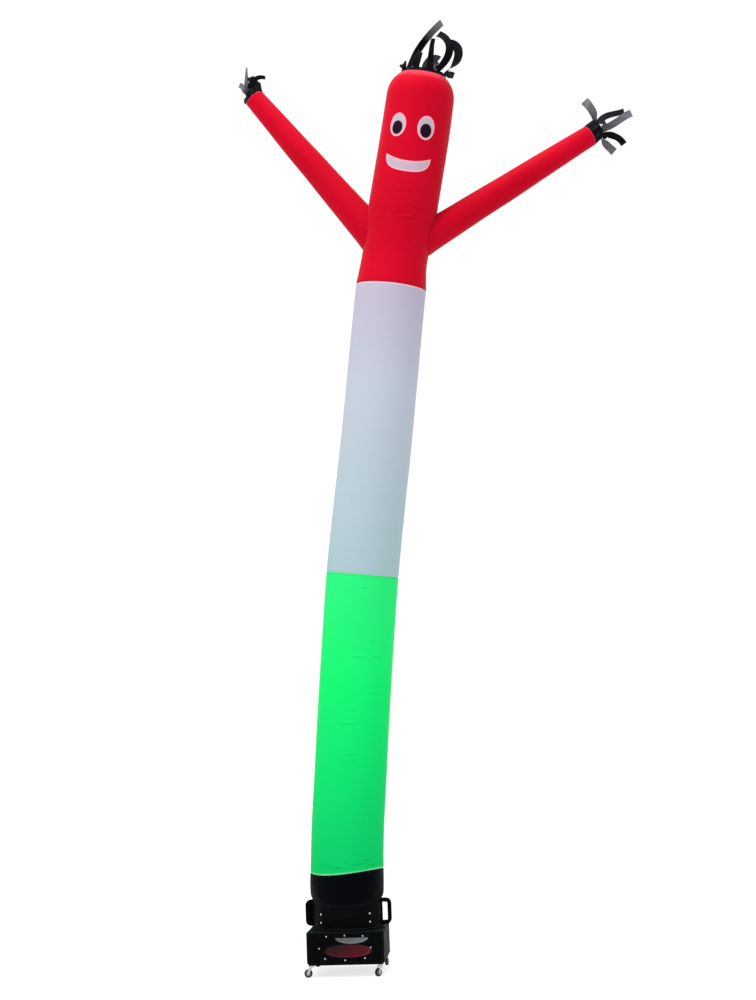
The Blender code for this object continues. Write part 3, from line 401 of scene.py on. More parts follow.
class Graph:
    """Short calls that build one material's node tree. Each takes sockets or plain values."""

    def __init__(self, name, roughness=0.5, specular=0.5, metallic=0.0):
        self.material = bpy.data.materials.new(name)
        self.material.use_nodes = True
        self.tree = self.material.node_tree
        self.shader = self.tree.nodes["Principled BSDF"]
        self.shader.inputs["Roughness"].default_value = roughness
        self.shader.inputs["Specular IOR Level"].default_value = specular
        self.shader.inputs["Metallic"].default_value = metallic
        MATERIALS[name] = self.material
        self.bump_normal = None

    def put(self, socket, value):
        if isinstance(value, bpy.types.NodeSocket):
            self.tree.links.new(value, socket)
        else:
            socket.default_value = value

    def node(self, kind, inputs=None, **settings):
        made = self.tree.nodes.new("ShaderNode" + kind)
        for key, value in settings.items():
            setattr(made, key, value)
        for socket, value in (inputs or {}).items():
            self.put(made.inputs[socket], value)
        return made

    def math(self, operation, a, b=0.0):
        return self.node("Math", {0: a, 1: b}, operation=operation).outputs[0]

    def vector(self, operation, a, b=(0.0, 0.0, 0.0), output="Vector"):
        return self.node("VectorMath", {0: a, 1: b}, operation=operation).outputs[output]

    def spread(self, value, low, high, to_low=0.0, to_high=1.0):
        return self.node("MapRange", {
            "Value": value, "From Min": low, "From Max": high, "To Min": to_low, "To Max": to_high,
        }).outputs["Result"]

    def mix(self, share, a, b, blend="MIX"):
        """Sockets 0, 6 and 7 are the share and the two colours."""
        a = (*a, 1.0) if isinstance(a, tuple) else a
        b = (*b, 1.0) if isinstance(b, tuple) else b
        return self.node("Mix", {0: share, 6: a, 7: b}, data_type="RGBA", blend_type=blend).outputs[2]

    def place(self):
        return self.node("TexCoord").outputs["Object"]

    def noise(self, scale, detail=2.0, roughness=0.5):
        return self.node("TexNoise", {
            "Vector": self.place(), "Scale": scale, "Detail": detail, "Roughness": roughness,
        }).outputs["Fac"]

    def bump(self, height, distance, strength):
        inputs = {"Height": height, "Distance": distance, "Strength": strength}
        if self.bump_normal is not None:
            inputs["Normal"] = self.bump_normal
        self.bump_normal = self.node("Bump", inputs).outputs["Normal"]

    def weave(self, pitch):
        """Over and under of a plain weave, from the cloth's own lengths."""
        cloth = self.node("SeparateXYZ", {0: self.node("UVMap", uv_map="cloth").outputs["UV"]})
        turns = math.tau / (2 * pitch)
        across = self.math("SINE", self.math("MULTIPLY", cloth.outputs["X"], turns))
        along = self.math("SINE", self.math("MULTIPLY", cloth.outputs["Y"], turns))
        return self.math("MULTIPLY", across, along)

    def finish(self, colour, roughness=None):
        self.put(self.shader.inputs["Base Color"], colour)
        if roughness is not None:
            self.put(self.shader.inputs["Roughness"], roughness)
        if self.bump_normal is not None:
            self.put(self.shader.inputs["Normal"], self.bump_normal)


def nylon(name, deep, bright, edge, painted_light_tints=(), specular=0.08, pitch=0.0008, sheen=0.0):
    """Coated woven nylon. tints are (height, colour) stops, from low to high, that tint the cloth with
    painted light: shade and cast colour that change with height.
    """
    g = Graph(name, roughness=0.55, specular=specular)
    g.shader.inputs["Sheen Weight"].default_value = sheen
    g.shader.inputs["Sheen Roughness"].default_value = 0.35
    g.shader.inputs["Sheen Tint"].default_value = (0.80, 0.76, 0.84, 1.0)
    colour = g.mix(g.spread(g.noise(1.1, 2.0), 0.35, 0.65), deep, bright)
    # Painted light: a colour by height, for shade low down and for the colour the neighbouring lengths cast.
    if painted_light_tints:
        tint = painted_light_tints[0][1]
        height = g.node("SeparateXYZ", {0: g.place()}).outputs["Z"]
        for (low, _), (high, tone) in zip(painted_light_tints, painted_light_tints[1:]):
            tint = g.mix(g.spread(height, low, high), tint, tone)
        colour = g.mix(0.75, colour, tint)
    weave = g.weave(pitch)
    shade = g.mix(1.0, colour, g.spread(weave, -1.0, 1.0, 0.97, 1.0), blend="MULTIPLY")
    g.bump(g.noise(3.2, 3.0, 0.45), 0.006, 0.5)         # broad unevenness
    g.bump(g.noise(16.0, 3.0, 0.5), 0.0012, 0.5)        # small dents
    g.bump(weave, 0.00005, 0.6)
    # Mixed towards the edge colour: at seams, hems and patch rims the cloth's own paler edge, on the ribbons
    # and bands their paler colour, partly painted sheen.
    seam_pale_and_sheen = g.node("Attribute", attribute_name="edge").outputs["Fac"]
    g.finish(g.mix(seam_pale_and_sheen, shade, edge), g.spread(g.noise(7.0, 2.0), 0.3, 0.7, 0.50, 0.62))


def make_cloth_materials():
    nylon(
        "nylon_red", (0.410, 0.0010, 0.0110), (0.495, 0.0016, 0.0160), (0.72, 0.070, 0.110),
        specular=0.02, sheen=0.06,
    )
    # Painted shade on the green: darker low down over the sleeve, paler higher up towards the white length.
    nylon(
        "nylon_green", (0.003, 0.55, 0.105), (0.008, 0.66, 0.138), (0.26, 0.70, 0.36),
        painted_light_tints=((0.65, (0.002, 0.43, 0.110)), (1.75, (0.006, 0.73, 0.140)), (2.45, (0.028, 0.75, 0.190))),
        specular=0.01, sheen=0.04,
    )
    # Painted colour cast on the white: bluish low down beside the green, lavender-pink high up beside the
    # red.
    nylon(
        "nylon_white", (0.340, 0.400, 0.460), (0.400, 0.430, 0.500), (0.64, 0.45, 0.50),
        painted_light_tints=((2.5, (0.305, 0.450, 0.475)), (3.62, (0.415, 0.456, 0.531)), (4.20, (0.410, 0.355, 0.460))),
        specular=0.05, sheen=0.04,
    )
    nylon(
        "nylon_black", (0.0007, 0.0010, 0.0019), (0.0015, 0.0018, 0.0030), (0.006, 0.007, 0.010),
        specular=0.02,
    )
    nylon(
        "patch_white", (0.365, 0.293, 0.371), (0.430, 0.349, 0.420), (0.86, 0.37, 0.44),
        specular=0.05, pitch=0.0006,
    )
    nylon(
        "patch_black", (0.0085, 0.0016, 0.0075), (0.0120, 0.0028, 0.0115), (0.040, 0.022, 0.045),
        specular=0.04, pitch=0.0006,
    )
    # The ribbons' paler colour: partly their own, partly a painted sheen of the sky on black nylon.
    nylon(
        "ribbon", (0.0006, 0.0007, 0.0015), (0.0034, 0.0032, 0.0058), (0.150, 0.156, 0.170),
        specular=0.03, pitch=0.0007,
    )
    for name, colour in (
        ("thread_red", (0.36, 0.003, 0.012)), ("thread_green", (0.016, 0.43, 0.09)),
        ("thread_white", (0.50, 0.48, 0.54)), ("thread_black", (0.008, 0.008, 0.011)),
    ):
        g = Graph(name, roughness=0.5, specular=0.2)
        twist = g.noise(900.0, 1.0)
        g.bump(twist, 0.0001, 0.5)
        g.finish(g.mix(g.spread(twist, 0.3, 0.7), tuple(0.7 * c for c in colour), colour))


def rounded_edges(g, radius):
    """How sharply the surface turns within a radius, 0 on a flat and towards 1 on an edge."""
    rounded = g.node("Bevel", {"Radius": radius}, samples=6).outputs["Normal"]
    flat = g.node("NewGeometry").outputs["Normal"]
    g.bump_normal = rounded
    return g.spread(g.vector("DOT_PRODUCT", rounded, flat, "Value"), 0.995, 0.82)


def make_hard_materials():
    """Black moulded plastic with random scuffs, paler edges that are partly wear and partly a painted
    highlight, and painted light on its upward faces; zinc-plated steel; and the wheels.
    """
    g = Graph("moulded_plastic", specular=0.025)
    edge_share = rounded_edges(g, 0.004)
    up = g.node("SeparateXYZ", {0: g.node("NewGeometry").outputs["Normal"]}).outputs["Z"]
    scuffs = g.noise(26.0, 6.0, 0.7)
    broad = g.spread(g.noise(5.0, 3.0), 0.35, 0.65)
    colour = g.mix(broad, (0.0006, 0.0008, 0.0012), (0.0014, 0.0017, 0.0023))
    # Painted light: upward faces are painted paler and teal-tinted.
    painted_top_light = g.math("MULTIPLY", g.spread(up, 0.6, 0.95), 0.75)
    colour = g.mix(painted_top_light, colour, (0.0060, 0.0115, 0.0125))
    scuffed = g.math("MULTIPLY", g.spread(scuffs, 0.56, 0.70), 0.35)
    colour = g.mix(scuffed, colour, (0.0050, 0.0056, 0.0064))
    # Edges painted paler, broken up by the scuff noise: partly wear, partly a painted highlight along the
    # edges.
    wear_and_edge_highlight = g.math("MULTIPLY", edge_share, g.spread(scuffs, 0.40, 0.62, 0.10, 0.8))
    colour = g.mix(wear_and_edge_highlight, colour, (0.016, 0.018, 0.021))
    g.bump(g.noise(1400.0, 2.0, 0.6), 0.00025, 0.45)
    g.bump(g.noise(60.0, 3.0), 0.0006, 0.25)
    g.finish(colour, g.spread(g.noise(18.0, 4.0), 0.3, 0.7, 0.48, 0.66))

    g = Graph("zinc_plate", metallic=1.0)
    rounded_edges(g, 0.0012)
    spangle = g.node("TexVoronoi", {"Vector": g.place(), "Scale": 420.0}).outputs["Color"]
    tone = g.node("SeparateXYZ", {0: spangle}).outputs["X"]
    grime = g.spread(g.noise(90.0, 5.0, 0.65), 0.45, 0.65, 0.0, 0.55)
    colour = g.mix(grime, g.mix(tone, (0.42, 0.44, 0.46), (0.62, 0.64, 0.66)), (0.14, 0.13, 0.12))
    g.bump(g.noise(500.0, 2.0), 0.0001, 0.4)
    g.finish(colour, g.spread(g.noise(140.0, 3.0), 0.3, 0.7, 0.22, 0.45))

    for caster in CASTERS:
        make_wheel_material(caster)


Caster = namedtuple("Caster", "name side_x side_y trail_deg")
CASTERS = (
    Caster("front_left", -1, -1, 180), Caster("front_right", 1, -1, 228),
    Caster("rear_left", -1, 1, 140), Caster("rear_right", 1, 1, 80),
)
CASTER_STEM, CASTER_TRAIL, WHEEL_RADIUS = 0.212, 0.019, 0.025
HUB_RADIUS, HUB_BORDER, HUB_RIB = 0.0155, 0.0003, 0.0045   # the rib lies that far inside the hub's edge


def make_wheel_material(caster):
    """A dusty rubber tyre round a grey hub with a raised rim, told apart by distance from the axle."""
    g = Graph(f"wheel_{caster.name}", roughness=0.62, specular=0.2)
    rounded_edges(g, 0.0015)
    heading = math.radians(caster.trail_deg)
    axle = (-math.sin(heading), math.cos(heading), 0.0)
    centre = tuple(PLACE + np.array((
        caster.side_x * CASTER_STEM + CASTER_TRAIL * math.cos(heading),
        caster.side_y * CASTER_STEM + CASTER_TRAIL * math.sin(heading), WHEEL_RADIUS,
    )))
    arm = g.vector("CROSS_PRODUCT", g.vector("SUBTRACT", g.place(), centre), axle)
    reach = g.vector("LENGTH", arm, output="Value")

    def away_from(radius):
        return g.math("ABSOLUTE", g.math("SUBTRACT", reach, radius))

    dust = g.spread(g.noise(120.0, 5.0, 0.7), 0.42, 0.66, 0.0, 0.6)
    tyre = g.mix(dust, (0.0050, 0.0052, 0.0060), (0.024, 0.023, 0.021))
    hub = g.mix(dust, (0.150, 0.155, 0.165), (0.070, 0.068, 0.064))
    is_tyre = g.spread(reach, HUB_RADIUS - HUB_BORDER, HUB_RADIUS + HUB_BORDER)
    groove = g.spread(away_from(HUB_RADIUS), 0.0, 0.0008)
    rib = g.spread(away_from(HUB_RADIUS - HUB_RIB), 0.0, 0.0012, 1.0, 0.0)
    g.bump(g.math("ADD", groove, rib), 0.0008, 0.8)
    g.bump(g.noise(800.0, 3.0), 0.0003, 0.5)
    g.finish(g.mix(is_tyre, hub, tyre), g.spread(g.noise(60.0, 3.0), 0.3, 0.7, 0.45, 0.70))


Print = namedtuple("Print", "right middle_height half_wide half_high squareness fades_left")
STICKER_TOP = Print(0.043, 0.2350, 0.1020, 0.0350, 2.0, 0.45)
STICKER_BOTTOM = Print(0.020, 0.1575, 0.146, 0.039, 2.2, 0.90)


def sticker(name, field, line, shape):
    """Printed film with one plain line inside its edge, its colour darker to the upper left."""
    g = Graph(name, specular=0.10)
    place = g.node("SeparateXYZ", {0: g.place()})
    right_of = g.math("SUBTRACT", place.outputs["X"], PLACE[0] + shape.right)
    sideways = g.math("DIVIDE", right_of, shape.half_wide)
    above = g.math("SUBTRACT", place.outputs["Z"], shape.middle_height)
    upward = g.math("DIVIDE", above, shape.half_high)
    corner = g.math("SUBTRACT", sideways, g.math("MULTIPLY", upward, 0.7))
    ring = g.math("ADD", *(
        g.math("POWER", g.math("ABSOLUTE", way), shape.squareness) for way in (sideways, upward)
    ))
    in_line = g.math("MULTIPLY", g.spread(ring, 0.66, 0.68), g.spread(ring, 0.78, 0.80, 1.0, 0.0))
    tone = g.noise(40.0, 4.0, 0.6)
    colour = g.mix(g.spread(tone, 0.35, 0.65), tuple(0.85 * c for c in field), field)
    colour = g.mix(in_line, colour, line)
    colour = g.mix(g.spread(corner, -1.2, 0.6, shape.fades_left, 0.0), colour, (0.0024, 0.0022, 0.0026))
    g.bump(g.noise(300.0, 3.0), 0.0001, 0.3)
    g.finish(colour, g.spread(tone, 0.3, 0.7, 0.28, 0.42))


# ---- the tube

ROUND = np.arange(SIDES) * math.tau / SIDES

TOPSTITCH = (0.006, 0.012)        # rows of stitches, from the seam
BACK_SEAM = (89.2, 90.8)          # the tube's own length seam, behind, in degrees
BACK_STITCH_STEP = 0.02

# The cloth is paler at a seam or hem: how much, from how far, and how far that reaches.
SLEEVE_PALE, SLEEVE_PALE_UP, SLEEVE_PALE_REACH = 0.6, 0.006, 0.008
GREEN_PALE, GREEN_PALE_UNEVEN, GREEN_PALE_REACH = 0.72, 0.28, 0.014
GREEN_TOP_PALE, GREEN_TOP_PALE_REACH = 0.35, 0.006
WHITE_PALE_REACH = 0.012
RED_PALE, RED_PALE_DOWN, RED_PALE_REACH = 0.70, 0.012, 0.034

# Rows of points: how far apart on each length, and the green one's first rows over the slanted
# seam, which are level again at SLANT_END over it.
SLEEVE_ROWS, GREEN_APART, WHITE_APART, RED_APART, RED_FINE = 46, 0.0125, 0.0135, 0.0115, 0.0042
SLANT_STEPS, SLANT_END = (0.0, 0.0035, 0.007, 0.0105, 0.015, 0.021), 0.03


def tube_piece(name, levels, nylon_name, pale, stands_for, keep=None):
    """levels is rows by sides of heights. pale marks each point with how much it shows its seam."""
    outer, _ = tube_wall(levels, ROUND)
    inner, _ = tube_wall(levels, ROUND, -CLOTH)
    return shell(name, outer, inner, nylon_name, pale, stands_for, keep)


def level_rows(heights):
    return np.broadcast_to(heights[:, None], (len(heights), SIDES))


def seam_row(height):
    """Points and normals round the tube at a height, or at one for each azimuth."""
    return *tube_wall(np.broadcast_to(height, (SIDES,)), ROUND, THREAD_OFF), True


def length_row(azimuth_deg, low, high):
    heights = np.arange(low, high, BACK_STITCH_STEP)
    return *tube_wall(heights, math.radians(azimuth_deg), THREAD_OFF), False


def make_tube():
    """The four lengths of the tube, from the blower up."""
    half = GAP / 2
    creases = [0.5 * (c.low + c.high) + 0.5 * c.bow for c in CREASES]
    seam = sleeve_seam(ROUND)[None, :]
    hem = sleeve_hem(ROUND)[None, :]
    levels = hem + (seam - half - hem) * np.linspace(0.0, 1.0, SLEEVE_ROWS)[:, None]
    pale = SLEEVE_PALE * fade((levels - hem - SLEEVE_PALE_UP) / SLEEVE_PALE_REACH)
    sleeve = tube_piece("base_sleeve_cloth", levels, "nylon_black", pale, "base_sleeve")

    level_from = SEAM_SLEEVE + SLANT_END
    fine = creases + [SEAM_GREEN]
    body = level_rows(levels_between(level_from, SEAM_GREEN - half, GREEN_APART, fine, reach=GREEN_APART))
    base = seam + half
    steps = np.array(SLANT_STEPS)[:, None]
    blend = steps / SLANT_END
    start = base + steps * (1.0 - blend) + blend * (level_from - base) * blend
    levels = np.concatenate((start, body))
    uneven = GREEN_PALE + GREEN_PALE_UNEVEN * ripple(ROUND, (3, 5, 8, 13), seed=44)
    pale = np.clip(fade((levels - base) / GREEN_PALE_REACH) * uneven[None, :], 0.0, 1.0)
    pale = pale + GREEN_TOP_PALE * fade((levels - SEAM_GREEN) / GREEN_TOP_PALE_REACH)
    green = tube_piece("panel_green_cloth", levels, "nylon_green", pale, "panel_green")

    fine = creases + [SEAM_GREEN, SEAM_WHITE]
    levels = level_rows(levels_between(SEAM_GREEN + half, SEAM_WHITE - half, WHITE_APART, fine))
    pale = fade((levels - SEAM_WHITE) / WHITE_PALE_REACH)
    white = tube_piece("panel_white_cloth", levels, "nylon_white", pale, "panel_white")

    fine = creases + [SEAM_WHITE, HEAD_RIM]
    heights = levels_between(SEAM_WHITE + half, HEAD_RIM, RED_APART, fine, fine_apart=RED_FINE)
    levels = level_rows(heights)
    pale = RED_PALE * fade((levels - HEAD_RIM + RED_PALE_DOWN) / RED_PALE_REACH)
    between_rows = level_rows(0.5 * (heights[1:] + heights[:-1]))
    middle = tube_skin(between_rows, np.broadcast_to(ROUND + math.pi / SIDES, between_rows.shape))
    keep = ~(inside_arm(ARMS[0], middle) | inside_arm(ARMS[1], middle))
    red = tube_piece("panel_red_cloth", levels, "nylon_red", pale, "panel_red", keep)
    return {"sleeve": sleeve, "green": green, "white": white, "red": red}


# ---- arms

# The hole in the tube for an arm: its edge inside the arm, and from where to what share of the
# arm's length it is looked for.
BORE_CLEAR, BORE_FROM, BORE_TO = 0.010, 0.02, 0.5


def arm_frame(arm):
    """The arm's ends, the way along it, and the two ways across it, right and back."""
    root, tip = np.array(arm.root), np.array(arm.tip)
    along = unit(tip - root)
    back = unit(np.array((0.0, 1.0, 0.0)) - along * along[1])
    return root, tip, along, np.cross(back, along), back


def arm_reach(arm):
    return np.linalg.norm(np.array(arm.tip) - np.array(arm.root))


def arm_radius(arm, share):
    return arm.root_radius + (arm.tip_radius - arm.root_radius) * share


def inside_arm(arm, points):
    """Which points lie in the arm's bore, on the arm's side of the tube."""
    root, _, along, _, _ = arm_frame(arm)
    reach = arm_reach(arm)
    run = (points - root) @ along
    off = np.linalg.norm(points - root - run[..., None] * along, axis=-1)
    bore = arm_radius(arm, run / reach) - BORE_CLEAR
    return (run > BORE_FROM) & (run < BORE_TO * reach) & (off < bore)


def arm_point(arm, share, a, out=0.0):
    root, tip, _, right, back = arm_frame(arm)
    return around(root + (tip - root) * share[..., None], right, back, arm_radius(arm, share) + out, a)


def tube_distance(points):
    """How far points lie outside the tube's outer skin."""
    h = points[..., 2].copy()
    for _ in range(4):
        centre, along, right, back = spine_frame(h)
        h = h + np.sum((points - centre) * along, axis=-1) * along[..., 2]
    centre, along, right, back = spine_frame(h)
    off = points - centre
    a = np.arctan2(np.sum(off * back, axis=-1), np.sum(off * right, axis=-1))
    return np.linalg.norm(off, axis=-1) - tube_radius(h, a)


def arm_start(arm, a, clear, out=0.0):
    """The share of the arm's length at which each of its lines leaves the tube."""
    low, high = np.zeros_like(a), np.full_like(a, 0.6)
    for _ in range(30):
        middle = 0.5 * (low + high)
        outside = tube_distance(arm_point(arm, middle, a, out)) > clear
        high = np.where(outside, middle, high)
        low = np.where(outside, low, middle)
    return high


# The arm's unevenness: how deep, and how far it reaches from the seam, the hem or the arm's end.
ARM_PUCKER, ARM_PUCKER_REACH, ARM_FINE_REACH = 0.0022, 0.16, 0.07
ARM_SEAM_DIP, ARM_SEAM_DIP_REACH, ARM_HEM_DIP_REACH = 0.0010, 0.010, 0.008
ARM_SOFT, ARM_END_PUCKER, ARM_END_REACH = 0.0012, 0.0010, 0.10
# Rows of points along it.
ARM_CLOSE_ROWS = (0.0, 0.004, 0.008, 0.013, 0.019, 0.027, 0.037, 0.049)     # from the tube
ARM_ROWS, ARM_ROWS_FROM, ARM_ROWS_TO = 92, 0.064, 0.02
ARM_END_ROWS = (0.013, 0.008, 0.004, 0.0)                                   # from the arm's end
ARM_END_PALE, ARM_END_PALE_REACH = 0.35, 0.012
# The cord of folded cloth in the seam: its sides and radius, and the cloth's length for a step
# along it and for a side.
CORD_SIDES, CORD_RADIUS, CORD_STEP, CORD_SIDE = 8, 0.0020, 0.0075, 0.002
ARM_TOPSTITCH, ARM_HEM_STITCH = (0.007, 0.013), 0.010
ARM_BACK_TURNS, ARM_BACK_POINTS = (0.5 * math.pi - 0.04, 0.5 * math.pi + 0.04), 80


def arm_relief(arm, share, a, start):
    """The cloth's unevenness along the arm: gathers at its root, soft waves, and its end's hem."""
    reach = arm_reach(arm)
    away, left = (share - start) * reach, (1.0 - share) * reach
    root = ripple(a, (7, 9, 12, 16), arm.seed) * fade(away / ARM_PUCKER_REACH)
    root = root + 0.6 * ripple(a, (17, 23, 28), arm.seed + 1) * fade(away / ARM_FINE_REACH)
    soft = np.cos(2 * a + 9 * share) + np.cos(3 * a - 14 * share + 1) + 0.6 * np.cos(a + 23 * share)
    soft = ARM_SOFT * soft / 2 * fade(0.12 / np.maximum(away, 1e-6) - 0.2)
    end = ripple(a, (9, 13, 17), arm.seed + 2) * fade(left / ARM_END_REACH)
    dip = ARM_SEAM_DIP * (fade(away / ARM_SEAM_DIP_REACH) + 0.6 * fade(left / ARM_HEM_DIP_REACH))
    return ARM_PUCKER * root + soft + ARM_END_PUCKER * end - dip


def arm_cloth(arm, a, start):
    """The arm's tube, each of its lines from where it leaves the dancer's tube."""
    reach = arm_reach(arm)
    rows = np.concatenate((
        np.array(ARM_CLOSE_ROWS) / reach,
        np.linspace(ARM_ROWS_FROM / reach, 1.0 - ARM_ROWS_TO / reach, ARM_ROWS),
        1.0 - np.array(ARM_END_ROWS) / reach,
    ))[:, None]
    share = start[None, :] + (1.0 - start[None, :]) * rows
    relief = arm_relief(arm, share, a, start[None, :])
    inner_start = arm_start(arm, a, GAP, -CLOTH)[None, :]
    inner_share = inner_start + (1.0 - inner_start) * rows
    pale = ARM_END_PALE * fade((rows - 1.0) * reach / ARM_END_PALE_REACH)
    return shell(
        f"arm_{arm.name}_cloth", arm_point(arm, share, a, relief),
        arm_point(arm, inner_share, a, relief - CLOTH), "nylon_red",
        np.broadcast_to(pale, share.shape), f"arm_{arm.name}",
    )


def arm_seam(arm, a, start):
    """The folded edges where the arm is sewn to the tube: a soft cord of cloth, all round."""
    root, _, along, _, _ = arm_frame(arm)
    centres = arm_point(arm, start + 0.001 / arm_reach(arm), a)
    following = np.roll(centres, -1, axis=0) - np.roll(centres, 1, axis=0)
    verts, faces, uv = [], [], []
    for k in range(ARM_SIDES):
        tangent = unit(following[k])
        outward = unit(np.cross(tangent, along))
        if np.dot(outward, centres[k] - root) < 0:
            outward = -outward
        upward = np.cross(outward, tangent)
        radius = CORD_RADIUS + 0.0004 * math.cos(37 * a[k]) + 0.0003 * math.cos(22 * a[k] + 1)
        low, high = k * CORD_SIDES, (k + 1) % ARM_SIDES * CORD_SIDES
        for c in range(CORD_SIDES):
            turn = math.tau * c / CORD_SIDES
            verts.append(centres[k] + radius * (outward * math.cos(turn) + upward * math.sin(turn)))
            d = (c + 1) % CORD_SIDES
            faces.append((low + c, low + d, high + d, high + c))
            u, v = CORD_STEP * k, CORD_SIDE * c
            next_u, next_v = u + CORD_STEP, CORD_SIDE * (c + 1)
            uv += [(u, v), (u, next_v), (next_u, next_v), (next_u, v)]
    return new_piece(f"arm_{arm.name}_seam", verts, faces, "nylon_red", uv)


def arm_stitching(arm, a, start):
    """Stitches along the seam, the hem and the arm's own length seam, behind."""
    reach = arm_reach(arm)

    def row(share, turns, starts, closed):
        points = arm_point(arm, share, turns, arm_relief(arm, share, turns, starts) + THREAD_OFF)
        outward = arm_point(arm, share, turns, 0.01) - arm_point(arm, share, turns)
        return points, unit(outward), closed

    rows = [row(start + away / reach, a, start, True) for away in ARM_TOPSTITCH]
    rows.append(row(np.full_like(a, 1.0 - ARM_HEM_STITCH / reach), a, start, True))
    behind = float(start[ARM_SIDES // 4])
    line = np.linspace(behind + 0.01, 1.0 - ARM_ROWS_TO / reach, ARM_BACK_POINTS)
    rows += [row(line, np.full_like(line, turn), behind, False) for turn in ARM_BACK_TURNS]
    return thread_rows(f"stitching_arm_{arm.name}", rows, "thread_red")


def make_arm(arm):
    a = np.arange(ARM_SIDES) * math.tau / ARM_SIDES
    start = arm_start(arm, a, GAP)
    cloth = arm_cloth(arm, a, start)
    seam = arm_seam(arm, a, start)
    stitching = arm_stitching(arm, a, start)


# ---- face

FACE_THICK, FACE_LIFT, FACE_RADIUS = 0.0010, 0.0007, 0.2205
FACE_PLUMP, FACE_PLUMP_REACH, FACE_FRONT_DROP = 0.0007, 0.012, 0.0003
PUPIL_LIFT = FACE_LIFT + FACE_THICK + 0.00045
EYE_HEIGHT, EYE_APART_DEG, EYE_HALF_WIDTH_DEG, EYE_HALF_HEIGHT = 5.268, 24.3, 14.6, 0.0735
PUPIL_HALF_WIDTH_DEG, PUPIL_HALF_HEIGHT, PUPIL_DROP = 9.4, 0.0430, 0.018
FACE_AZIMUTH, MOUTH_AZIMUTH, MOUTH_HALF_WIDTH_DEG = -92.5, -90.7, 39.5
MOUTH_CORNER_HEIGHT, MOUTH_TOP_SAG, MOUTH_DEPTH, MOUTH_FULLNESS = 5.088, 0.037, 0.104, 2.5
PALE_RIM, PUPIL_PALE_RIM = 0.012, 0.004
EYE_SEWN, MOUTH_SEWN_WIDE, MOUTH_SEWN_HIGH = 0.93, 0.975, 0.90    # where it is sewn, as shares


def face_piece(node, azimuth, half_turn, top, bottom, lift, shade, rim, columns=56, rows=14):
    """A sewn patch on the head between two edges, top(u) and bottom(u), for u from -1 to 1."""
    places = -np.cos(math.pi * np.linspace(0.004, 0.996, columns + 1))
    u = places[:, None] + np.zeros((1, rows + 1))
    share = 0.5 - 0.5 * np.cos(math.pi * np.linspace(0.0, 1.0, rows + 1))[None, :]
    heights = bottom(u) + (top(u) - bottom(u)) * share
    angles = np.radians(azimuth + half_turn * u)
    border_u = np.concatenate((places, places[::-1]))
    border_h = np.concatenate((bottom(places), top(places[::-1])))
    wide = FACE_RADIUS * math.radians(half_turn)
    flat = np.stack((u * wide, heights), axis=-1)
    border = np.stack((border_u * wide, border_h), axis=-1)
    near = np.min(np.linalg.norm(flat[:, :, None, :] - border[None, None, :, :], axis=-1), axis=-1)
    pale = fade(near / rim) ** 0.6
    plump = FACE_PLUMP * (1.0 - fade(near / FACE_PLUMP_REACH))
    front, _ = tube_wall(heights, angles, lift + FACE_THICK - FACE_FRONT_DROP + plump)
    back, _ = tube_wall(heights, angles, lift)
    across = rows + 1
    inside = (columns + 1) * across
    faces = []
    for i in range(columns):
        for c in range(rows):
            a, b = i * across + c, (i + 1) * across + c
            corners = (a, b, b + 1, a + 1)
            faces += [corners, tuple(inside + v for v in reversed(corners))]
    outline = [i * across for i in range(columns + 1)]
    outline += [columns * across + c for c in range(1, rows + 1)]
    outline += [i * across + rows for i in range(columns - 1, -1, -1)]
    outline += range(rows - 1, 0, -1)
    faces += [(w, v, inside + v, inside + w) for v, w in zip(outline, outline[1:] + outline[:1])]
    flat = flat.reshape(-1, 2)
    uv = [flat[v % inside] for quad in faces for v in quad]
    patch = new_piece(
        f"{node}_patch", np.concatenate((front.reshape(-1, 3), back.reshape(-1, 3))), faces,
        f"patch_{shade}", uv, np.concatenate((pale.ravel(), pale.ravel())), node,
    )
    if node == "mouth":
        line_u = border_u * MOUTH_SEWN_WIDE
        middle = 0.5 * (top(line_u) + bottom(line_u))
        edge = np.concatenate((bottom(line_u[:columns + 1]), top(line_u[columns + 1:])))
        line_h = middle + (edge - middle) * MOUTH_SEWN_HIGH
    else:
        line_u = border_u * EYE_SEWN
        middle = 0.5 * (top(0.0) + bottom(0.0))
        line_h = middle + (border_h - middle) * EYE_SEWN
    points, normals = tube_wall(
        line_h, np.radians(azimuth + half_turn * line_u), lift + FACE_THICK + THREAD_OFF,
    )
    sewing = thread_rows(
        f"stitching_{node}_patch", [(points, normals, True)], f"thread_{shade}",
        pitch=0.0034, length=0.0026,
    )
    return patch, sewing


def make_face():
    def oval(middle, half_height):
        def edge(sign):
            return lambda u: middle + sign * half_height * np.sqrt(np.maximum(0.0, 1.0 - u * u))
        return edge(1), edge(-1)

    def mouth_bottom(u):
        full = np.maximum(0.0, 1.0 - np.abs(u) ** MOUTH_FULLNESS) ** (1.0 / MOUTH_FULLNESS)
        return MOUTH_CORNER_HEIGHT - MOUTH_DEPTH * full

    def mouth_top(u):
        return MOUTH_CORNER_HEIGHT - MOUTH_TOP_SAG * (1.0 - u * u)

    made = []
    for name, side in (("left", -1), ("right", 1)):
        azimuth = FACE_AZIMUTH + side * EYE_APART_DEG
        made += face_piece(
            f"eye_{name}", azimuth, EYE_HALF_WIDTH_DEG, *oval(EYE_HEIGHT, EYE_HALF_HEIGHT),
            FACE_LIFT, "white", PALE_RIM,
        )
        made += face_piece(
            f"pupil_{name}", azimuth, PUPIL_HALF_WIDTH_DEG,
            *oval(EYE_HEIGHT - PUPIL_DROP, PUPIL_HALF_HEIGHT),
            PUPIL_LIFT, "black", PUPIL_PALE_RIM, columns=40, rows=10,
        )
    made += face_piece(
        "mouth", MOUTH_AZIMUTH, MOUTH_HALF_WIDTH_DEG, mouth_top, mouth_bottom,
        FACE_LIFT, "white", PALE_RIM, columns=80,
    )
    return made
